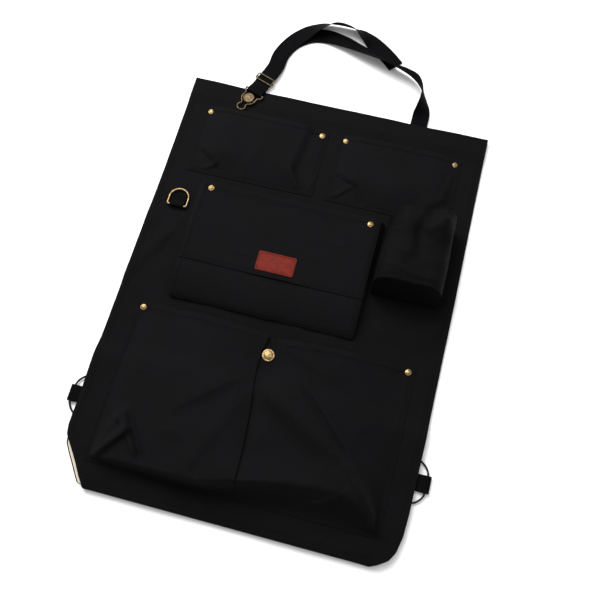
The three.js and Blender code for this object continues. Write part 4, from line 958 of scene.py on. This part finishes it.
def make_wing(name, node, outer, inner_line, side, seed):
    lines = np.linspace(POCKET_END, MOUTH, 170)
    inner = np.interp(lines, inner_line[:, 0], inner_line[:, 1])
    share = np.linspace(0, 1, 130)
    left, right = (outer + 0 * inner, inner) if side > 0 else (inner, outer + 0 * inner)
    x = left + np.outer(share, right - left)
    flat_y = np.broadcast_to(lines, x.shape)
    y = flat_y - mouth_dip(x, flat_y)
    tuck = bell((x - inner) / 5)
    below_snap = smooth((SNAP[1] - 12 - y) / 24) * smooth((y - POCKET_END - 16) / 16)
    depth = 0.6 if side > 0 else 2.4
    z = pocket_level(x, y) - depth * tuck * below_snap
    if side < 0:
        z = z - 2.0 * below_snap * bell((x - inner) / 20)
    z = np.maximum(z, panel_top(x, y) + 0.75)
    grid = np.stack([x, y, z], axis=-1)
    edge = np.abs(x - outer)
    relief = -0.2 * bell(edge - 3.2) - 0.2 * bell(edge - 6.4)
    relief = relief - 0.25 * bell(MOUTH - flat_y - 9) + 0.25 * smooth((9 - MOUTH + flat_y) / 1.5)
    relief = relief + 0.12 * ripple(x, y, 9, seed) * smooth((14 - edge) / 10)
    piece = cloth(name, grid, POCKET_CLOTH * 0.96, pocket_canvas, relief)
    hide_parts(node)
    lines = []
    for inset in SEAM_ROWS:
        at = outer + side * inset
        hem_x, hem_y = np.linspace(outer + side * 12, -side * 20, 24), MOUTH - 6 - inset
        lines += [[(at, MOUTH - 1), (at, POCKET_END + 3)], list(zip(hem_x, hem_y - mouth_dip(hem_x, hem_y)))]
    lines.append([(outer + side * 3, POCKET_END + 2.4), (-side * 2 + 4, POCKET_END + 2.4)])
    top = above(lambda px, py: np.maximum(pocket_level(px, py), panel_top(px, py) + 0.75),
                POCKET_CLOTH / 2 + 0.05)
    seams = stitches(name + "_stitching", [on_surface(top, line) for line in lines])
    blend_to_snap(piece)
    blend_to_snap(seams)
    sheet(grid)


def make_bottom_pocket():
    make_wing("bottom_pocket_left_cloth", "bottom_pocket_left", -POCKET_HALF, LEFT_FOLD, 1, 81)
    make_wing("bottom_pocket_right_cloth", "bottom_pocket_right", POCKET_HALF, RIGHT_FOLD, -1, 82)

    low, high = node_box("bottom_pocket_pleat")
    x, y = plane_grid(low[0], high[0], 30, POCKET_END, MOUTH - 1.5, 120)
    deep = pocket_level(x, y) - 3.4 - 0.004 * (21 - np.abs(x)) ** 2
    at_snap = low[2] + POCKET_CLOTH / 2
    near = np.exp(-(((y - SNAP[1]) / 16) ** 4))
    z = deep * (1 - near) + at_snap * near
    z = np.maximum(z, panel_top(x, y) + 0.6)
    y = y - mouth_dip(x, y)
    lip = smooth((y - MOUTH + 28) / 18)
    z = z * (1 - lip) + np.minimum(at_snap - 1.2, pocket_level(x, y) - 1.6) * lip
    grid = np.stack([x, y, z], axis=-1)
    pleat = cloth("bottom_pocket_pleat_cloth", grid, POCKET_CLOTH * 0.96, pocket_canvas)
    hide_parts("bottom_pocket_pleat")
    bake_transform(pleat)
    sheet(grid)


# ---- fasteners ----------------------------------------------------------------------------------
def make_head(name, node, body, material, rise, face, stem=(), sides=40, wave=None):
    """A round metal head. stem holds radii and heights over the node's foot. face holds shares of the head's
    radius and heights over its seat, which is rise below the node's top."""
    low, high = node_box(node)
    radius, seat = (high[0] - low[0]) / 2, high[2] - rise
    profile = [[r, low[2] + h] for r, h in stem]
    if stem:
        profile.append([stem[-1][0], seat + face[0][1]])
    profile += [[radius * share, seat + h] for share, h in face]
    put(turned(name, profile, node_centre(node)[:2], material, sides, wave), body, node)


def beads(share, angle):
    """A ring of small raised dots round the button's face."""
    return 0.22 * bell((share - 0.66) / 0.09) * np.maximum(np.cos(18 * angle), 0)


def make_fasteners():
    for number in RIVETS:
        make_head(f"rivet_{number}", f"rivet_cap_{number}", "root", brass, 1.9, [
            (0, -0.3), (0.8, -0.3), (0.97, 0), (1, 0.3), (0.98, 0.6), (0.9, 0.95), (0.8, 1.15), (0.66, 1.22),
            (0.62, 1.3), (0.5, 1.62), (0.34, 1.82), (0.16, 1.9), (0, 1.9)])
    make_head("snap_button", "snap_cap", "snap", brass, 2.6, [
        (0.93, -0.1), (1, 0.3), (0.99, 0.75), (0.93, 1.1), (0.86, 1.2), (0.8, 1.05), (0.76, 1.15),
        (0.66, 1.75), (0.5, 2.2), (0.3, 2.5), (0.12, 2.6), (0, 2.6)], stem=[(0, 0.2), (1.3, 0.2)], sides=56)
    make_head("jeans_button", "button_head", "button", dark_brass, 2.4, [
        (0.9, 0), (1, 0.5), (1, 1.4), (0.96, 2.1), (0.9, 2.35), (0.84, 2.2)]
        + [(share, 1.95) for share in (0.8, 0.74, 0.7, 0.66, 0.62, 0.55, 0.46)]
        + [(0.42, 2.15), (0.3, 2.25), (0.14, 2.3), (0, 2.3)],
        stem=[(0, 0), (3.3, 0), (3.5, 0.3)], sides=144, wave=beads)


def strip_grid(path, across, axis, side=1):
    """A grid of webbing that follows a path of (run, z) and has its width across the run's axis."""
    grid = np.empty((len(across), len(path), 3))
    grid[..., axis] = side * path[None, :, 0]
    grid[..., 1 - axis] = across[:, None]
    grid[..., 2] = path[None, :, 1]
    return grid


def make_ring():
    low, high = node_box("d_ring")
    wire = 1.4
    z = (low[2] + high[2]) / 2
    bar = low[1] + wire
    x = (low[0] + high[0]) / 2
    half = 14
    line = [(x + half, bar + 0.4), (x + half, bar + 6)] + arc((x, bar + 12), half, 0, 180, 24)
    line += [(x - half, bar + 6), (x - half, bar + 0.4)]
    line += arc((x - half + 1.6, bar + 1.6), 1.6, 180, 270, 4)
    line += arc((x + half - 1.6, bar + 1.6), 1.6, 270, 360, 4)
    path = respace([(px, py, z) for px, py in line] + [(line[0][0], line[0][1], z)], 0.9)[:-1]
    piece = tube("ring_wire", path, wire, brass, sides=16, closed=True)
    put(piece, "ring", "d_ring")

    low, high = node_box("d_ring_tab")
    cloth_z = POCKET_Z + 0.5
    wrap = wire + 1.0
    centre = (bar, cloth_z + wrap)
    path = [(bar + 18, cloth_z), (bar + 6, cloth_z)] + arc(centre, wrap, 270, 90, 12)
    path += [(bar + 4, cloth_z + wrap + 1.6), (bar + 9, cloth_z + 1.7), (bar + 18, cloth_z + 1.35)]
    grid = strip_grid(respace(path, 0.7), np.linspace(low[0], high[0], 26), 1)[:, ::-1]
    tab = cloth("ring_tab_webbing", grid, 0.95, webbing)
    put(tab, "root", "d_ring_tab")
    a, b, c, d = [(px, py) for px, py in ((low[0] + 3, bar + 10), (high[0] - 3, bar + 10),
                                          (high[0] - 3, bar + 16), (low[0] + 3, bar + 16))]
    sew("ring_tab_stitching", lambda px, py: cloth_z + 1.9 + 0 * px, [[a, b, c, d, a]])


# ---- side tabs and elastic cord -----------------------------------------------------------------
def make_side_tabs():
    for side, node in ((1, "right_side_tab"), (-1, "left_side_tab")):
        low, high = node_box(node)
        path = [(HALF - 13, 4.3), (HALF + 4, 4.3), (HALF + 8, 5.2)]
        path += arc((HALF + 15, 2.95), 2.25, 90, -90, 10)
        path += [(HALF + 8, 0.75), (HALF + 4, 3.2), (HALF - 13, 3.2)]
        grid = strip_grid(respace(path, 0.7), np.linspace(low[1], high[1], 28), 0, side)[::side]
        tab = cloth(f"{node}_webbing", grid, 0.76, webbing)
        put(tab, "root", node)


CORD_HALF = [(-0.5, -222, 2.5), (-10, -222, 2.5), (-32, -222, 1.6), (-110, -222, 1.6), (-180, -223, 1.6),
             (-212, -226, 1.7), (-227, -223.5, 2.2), (-235.5, -215.5, 2.8), (-238, -207, 2.95),
             (-238, -189, 2.95), (-235.5, -180, 2.8), (-227, -171.5, 2.2), (-212, -167, 1.7),
             (-180, -166, 1.6), (-100, -167, 1.6), (0, -168, 1.6)]
CRIMP_PROFILE = [(0, 0.9), (0.04, 1), (0.25, 1), (0.3, 0.86), (0.36, 0.86), (0.41, 1), (0.59, 1), (0.64, 0.86),
                 (0.7, 0.86), (0.75, 1), (0.96, 1), (1, 0.9)]


def make_cord():
    points = CORD_HALF + [(-x, y, z) for x, y, z in CORD_HALF[-2::-1]]
    path = respace(centripetal(points, 12), 1.3)
    piece = tube("elastic_drawcord", path, CORD_DIAMETER / 2, elastic, sides=14, braid=0.07)
    put(piece, "root", "elastic_cord")
    low, high = node_box("cord_crimp")
    centre = (low + high) / 2
    length, outer, inner = high[0] - low[0], (high[2] - low[2]) / 2, 1.55
    stations = [(0, inner)] + [(s, outer * size) for s, size in CRIMP_PROFILE] + [(1, inner)]
    sides = 24
    angle = np.arange(sides) * 2 * math.pi / sides
    rings = [np.stack([np.full(sides, low[0] + s * length), centre[1] + r * np.cos(angle),
                       centre[2] + r * np.sin(angle)], axis=1) for s, r in stations]
    points = np.concatenate(rings)
    faces = grid_faces(len(rings), sides, wrap=True)
    faces += closing_faces(len(rings), sides)
    crimp = make_mesh("crimp_sleeve", points, faces, dark_brass, None)
    put(crimp, "root", "cord_crimp")


# ---- strap, slider and clip ---------------------------------------------------------------------
BAR = np.array([-130.0, 307.5])
STRAP_UP = np.array([math.sin(STRAP_LEAN), math.cos(STRAP_LEAN)])
CLIP_DOWN = np.array([-math.sin(CLIP_LEAN), -math.cos(CLIP_LEAN)])
HEM_TOP = 3.8
LOWER_Z = HEM_TOP + 0.6 + WEBBING / 2
UPPER_Z = LOWER_Z + WEBBING + GAP
CLIP_WIRE = 1.1
CLIP_Z = LOWER_Z + WEBBING / 2 + GAP + 0.2 + CLIP_WIRE
STRAIGHT_RUN = 44


def along_strap(distance, z):
    """A station on the straight run through the slider, measured from the clip's bar."""
    x, y = BAR + STRAP_UP * distance
    return [x, y, z, 160, 0]


def leaving(z):
    """The station where the strap bends out of its straight run."""
    x, y, height, azimuth, tilt = along_strap(STRAIGHT_RUN + 14, z)
    return [x - 1.7, y, height, azimuth - 1.5, tilt]


def lying(x, above_top, clear, azimuth, tilt):
    """A station of the loop that lies beyond the hem; clear is the space under its lowest edge."""
    angle = math.radians(abs(tilt))
    rise = WEBBING_WIDTH / 2 * math.sin(angle) + WEBBING / 2 * math.cos(angle)
    return [BAR[0] + x, TOP + above_top, clear + rise, azimuth, tilt]


def strap_stations():
    wrap = CLIP_WIRE + 0.4 + WEBBING / 2
    set_back = WEBBING_WIDTH / 2 * math.tan(CLIP_LEAN - STRAP_LEAN)
    hem_z = 0.8 + GAP + WEBBING / 2
    on_top = WEBBING + GAP
    stations = [[STRAP_X, HEM_BOTTOM + 6, hem_z, 0, 0], [STRAP_X, HEM_BOTTOM + 20, hem_z, 0, 0],
                [STRAP_X, TOP + 1, hem_z + 0.1, 0, 0]]
    stations += [lying(*s) for s in (
        (251, 10, 1.65, 0, 0), (251, 17, 2.3, 0, -6), (251, 28, 0.8, 4, -36), (249, 42, 0.8, 8, -62),
        (244, 58, 2.0, 18, -82), (234, 72, 2.6, 50, -84), (218, 81, 3.1, 68, -74), (196, 88, 3.3, 74, -62),
        (170, 97, 2.6, 74, -47), (138, 109, 1.8, 75, -30), (105, 120, 1.1, 80, -12), (78, 124, 0.9, 95, 0),
        (54, 118, 0.6, 118, 0), (32, 99.5, 0.6, 139, 0), (20.3, 74, 1.0, 154, 0))]
    stations += [leaving(3.4), along_strap(STRAIGHT_RUN, LOWER_Z),
                 along_strap(30, LOWER_Z), along_strap(14, LOWER_Z)]
    stations += [along_strap(a, z) for a, z in arc((-set_back, CLIP_Z), wrap, 270, 90, 6)]
    stations += [along_strap(4.5, CLIP_Z + wrap - 0.6), along_strap(10.5, UPPER_Z + 0.15),
                 along_strap(16, UPPER_Z), along_strap(30, UPPER_Z), along_strap(STRAIGHT_RUN, UPPER_Z),
                 leaving(3.4 + on_top)]
    stations += [lying(*s) for s in (
        (19.9, 74, 1.1 + on_top, 154, 0), (31.3, 100.2, 0.8 + on_top, 139.5, 0), (48, 121, 2.0, 120, -8),
        (68, 135, 1.8, 106, -32), (92, 143, 1.7, 97, -60), (118, 142, 1.1, 87, -57),
        (138, 136.5, 0.7, 78, -24), (154, 128.5, 0.7, 67, 0), (168, 119.5, 0.5, 58, 0),
        (184, 107, 0.4, 52, 0), (196, 96, 0.4, 50, 0))]
    return np.array(stations, float)


def make_strap():
    stations = strap_stations()
    centre = centripetal(stations[:, :3], 14)
    turn = np.radians(hermite(stations[:, 3:], lambda a, b, c, d: (0.3 * (c - a), 0.3 * (d - b)), 14))
    tangent = unit(np.gradient(centre, axis=0))
    azimuth, tilt = turn[:, 0], turn[:, 1]
    across = np.stack([np.cos(azimuth) * np.cos(tilt), np.sin(azimuth) * np.cos(tilt), np.sin(tilt)], axis=1)
    across = unit(across - tangent * (across * tangent).sum(axis=1, keepdims=True))
    up = np.cross(across, tangent)
    share = np.linspace(-1, 1, 17)
    wide = np.concatenate([share, share[::-1]])
    thin = np.concatenate([np.ones(17), -np.ones(17)]) * (0.93 - 0.45 * np.abs(wide) ** 10)
    thin += 0.05 * np.sign(thin) * np.sin(wide * 8 * math.pi)
    run = np.concatenate([[0], np.cumsum(np.linalg.norm(np.diff(centre, axis=0), axis=1))])
    points = (centre[:, None] + across[:, None] * (wide * WEBBING_WIDTH / 2)[None, :, None]
              + up[:, None] * (thin * WEBBING / 2)[None, :, None])
    count = len(wide)
    lay = np.stack([np.tile((wide + 1) * WEBBING_WIDTH / 2, len(run)), np.repeat(run, count)], axis=1)
    faces = grid_faces(len(centre), count, wrap=True)
    last = (len(centre) - 1) * count
    for k in range(16):
        faces.append([k, k + 1, 32 - k, 33 - k])
        faces.append([last + 33 - k, last + 32 - k, last + k + 1, last + k])
    points = np.concatenate(points)
    faces = [f[::-1] for f in faces]
    strap = make_mesh("strap_webbing", points, faces, webbing, lay, sharp=60)
    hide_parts("strap_sewn_end", "strap_clip_loop", "neck_strap", "strap_free_end")
    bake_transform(strap)


def make_slider():
    wire = 1.0
    half_width = WEBBING_WIDTH / 2 + 0.5 + wire
    half_length = 5
    high = UPPER_Z + WEBBING / 2 + GAP + wire
    low = LOWER_Z - WEBBING / 2 - GAP - wire

    def at(along, across, z):
        x, y = BAR + STRAP_UP * (26.5 + along)
        return (x + across * STRAP_UP[1], y - across * STRAP_UP[0], z)

    corner = 1.8
    in_x, in_y = half_width - corner, half_length - corner
    outline = []
    for sx, sy, start in ((1, 1, 0), (-1, 1, 90), (-1, -1, 180), (1, -1, 270)):
        outline += arc((sx * in_x, sy * in_y), corner, start, start + 90, 6)
    loop = [at(along, across, high) for across, along in outline]
    path = respace(loop + loop[:1], 0.7)[:-1]
    rim = tube("slider_frame", path, wire, dark_brass, sides=14, closed=True)
    bridge = [at(0, -half_width, high), at(0, -half_width, high - 2), at(0, -half_width + 0.3, low + 0.6),
              at(0, -half_width + 1.2, low), at(0, half_width - 1.2, low), at(0, half_width - 0.3, low + 0.6),
              at(0, half_width, high - 2), at(0, half_width, high)]
    bar = tube("slider_bar", respace(centripetal(bridge, 8), 0.7), wire * 0.95, dark_brass, sides=14)
    for piece in (rim, bar):
        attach(piece, "slider")
    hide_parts("strap_slider")


def make_clip():
    half = WEBBING_WIDTH / 2 + 3

    def at(along, across):
        x, y = BAR + CLIP_DOWN * along
        return (x - across * CLIP_DOWN[1], y + across * CLIP_DOWN[0], CLIP_Z)

    side = [(0, half), (4.4, half - 0.7), (7.6, half - 4.3), (10.6, 11.0), (14.3, 11.1), (18.5, 10.1),
            (22, 7.6), (24.8, 4.6), (27.2, 4.6), (31, 6.4), (35, 5.2)]
    route = side + [(37.3, 0)] + [(a, -b) for a, b in side[::-1]]
    lines = (("clip_wire", centripetal([at(*p) for p in route], 10), 0.6),
             ("clip_bar", [at(0, -half - 0.8), at(0, half + 0.8)], 0.9))
    wire, bar = (tube(name, respace(line, step), CLIP_WIRE, dark_brass, sides=14)
                 for name, line, step in lines)
    for piece in (wire, bar):
        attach(piece, "clip")
    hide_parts("wire_clip")


# ---- studio -------------------------------------------------------------------------------------
# Metres and watts. The key lamp stands at the upper left, as the photograph's shadows show.
FLOOR_HALF = 8
FLOOR_DROP = 0.0004
WORLD_STRENGTH = 0.6
LAMP_SIZE = 1.6
LAMPS = (("key", (-1.0, 1.25, 1.7), 76), ("top", (0.2, 0.5, 2.2), 12))


def make_studio():
    n = Nodes("studio_floor")
    n.colour(n.noise(n.space(), 3.0, 3.0), [(0.2, (0.88, 0.88, 0.88)), (0.8, (0.93, 0.93, 0.93))])
    paint = n.done(Roughness=0.9, Specular_IOR_Level=0.1)
    mesh = bpy.data.meshes.new("floor")
    corners = [(FLOOR_HALF * sx, FLOOR_HALF * sy, 0) for sx, sy in ((-1, -1), (1, -1), (1, 1), (-1, 1))]
    mesh.from_pydata(corners, [], [(0, 1, 2, 3)])
    mesh.materials.append(paint)
    floor = bpy.data.objects.new("floor", mesh)
    floor.location.z = -FLOOR_DROP
    bpy.context.scene.collection.objects.link(floor)
    world = bpy.data.worlds.new("studio")
    world.use_nodes = True
    background = world.node_tree.nodes["Background"].inputs
    background["Color"].default_value = (1, 1, 1, 1)
    background["Strength"].default_value = WORLD_STRENGTH
    bpy.context.scene.world = world
    for name, place, power in LAMPS:
        data = bpy.data.lights.new(name, "AREA")
        data.size = LAMP_SIZE
        data.energy = power
        lamp = bpy.data.objects.new(name, data)
        lamp.location = place
        lamp.rotation_euler = (Vector((0, 0, 0)) - Vector(place)).to_track_quat("-Z", "Y").to_euler()
        bpy.context.scene.collection.objects.link(lamp)
    bpy.context.scene.view_settings.view_transform = "Standard"


make_camera()
make_cord()
make_panel()
make_upper_pocket("upper_left_pocket_cloth", "upper_left_pocket", [
    (0.6, 3.2, ((-180, 194), (-150, 170)), ((-154, 178), (-131, 143))),
    (0.85, 15, ((-9, 154), (-40, 194)), ((-40, 190), (-31, 262)))], [
    ((-182, 150), (-149, 179), 5, 2.0, 0.5), ((-178, 192), (-151, 172), 4, -1.8, 0.6),
    ((-152, 174), (-134, 146), 4, -2.2, 0.6), ((-42, 195), (-12, 156), 4.5, -3.2, 0.6),
    ((-47, 192), (-22, 160), 8, 1.8, 0.6)], 101)
make_upper_pocket("upper_right_pocket_cloth", "upper_right_pocket", [
    (0.6, 3.2, ((14, 203), (56, 188)), ((53, 191), (74, 152)))], [
    ((18, 156), (52, 190), 5, 2.0, 0.5), ((18, 202), (55, 188), 4, -1.8, 0.6),
    ((54, 190), (72, 156), 4, -2.4, 0.6), ((150, 172), (182, 200), 10, 1.6, 0.4),
    ((186, 240), (176, 196), 10, 1.4, 0.4)], 105)
make_middle_pocket()
make_bottle_pocket()
make_bottom_pocket()
make_fasteners()
make_ring()
make_side_tabs()
make_strap()
make_slider()
make_clip()
for node in [f"rivet_back_{n}" for n in RIVETS] + ["snap_post", "snap_stud", "snap_socket", "button_tack"]:
    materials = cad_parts[node].data.materials
    materials.clear()
    materials.append(brass)

make_studio()
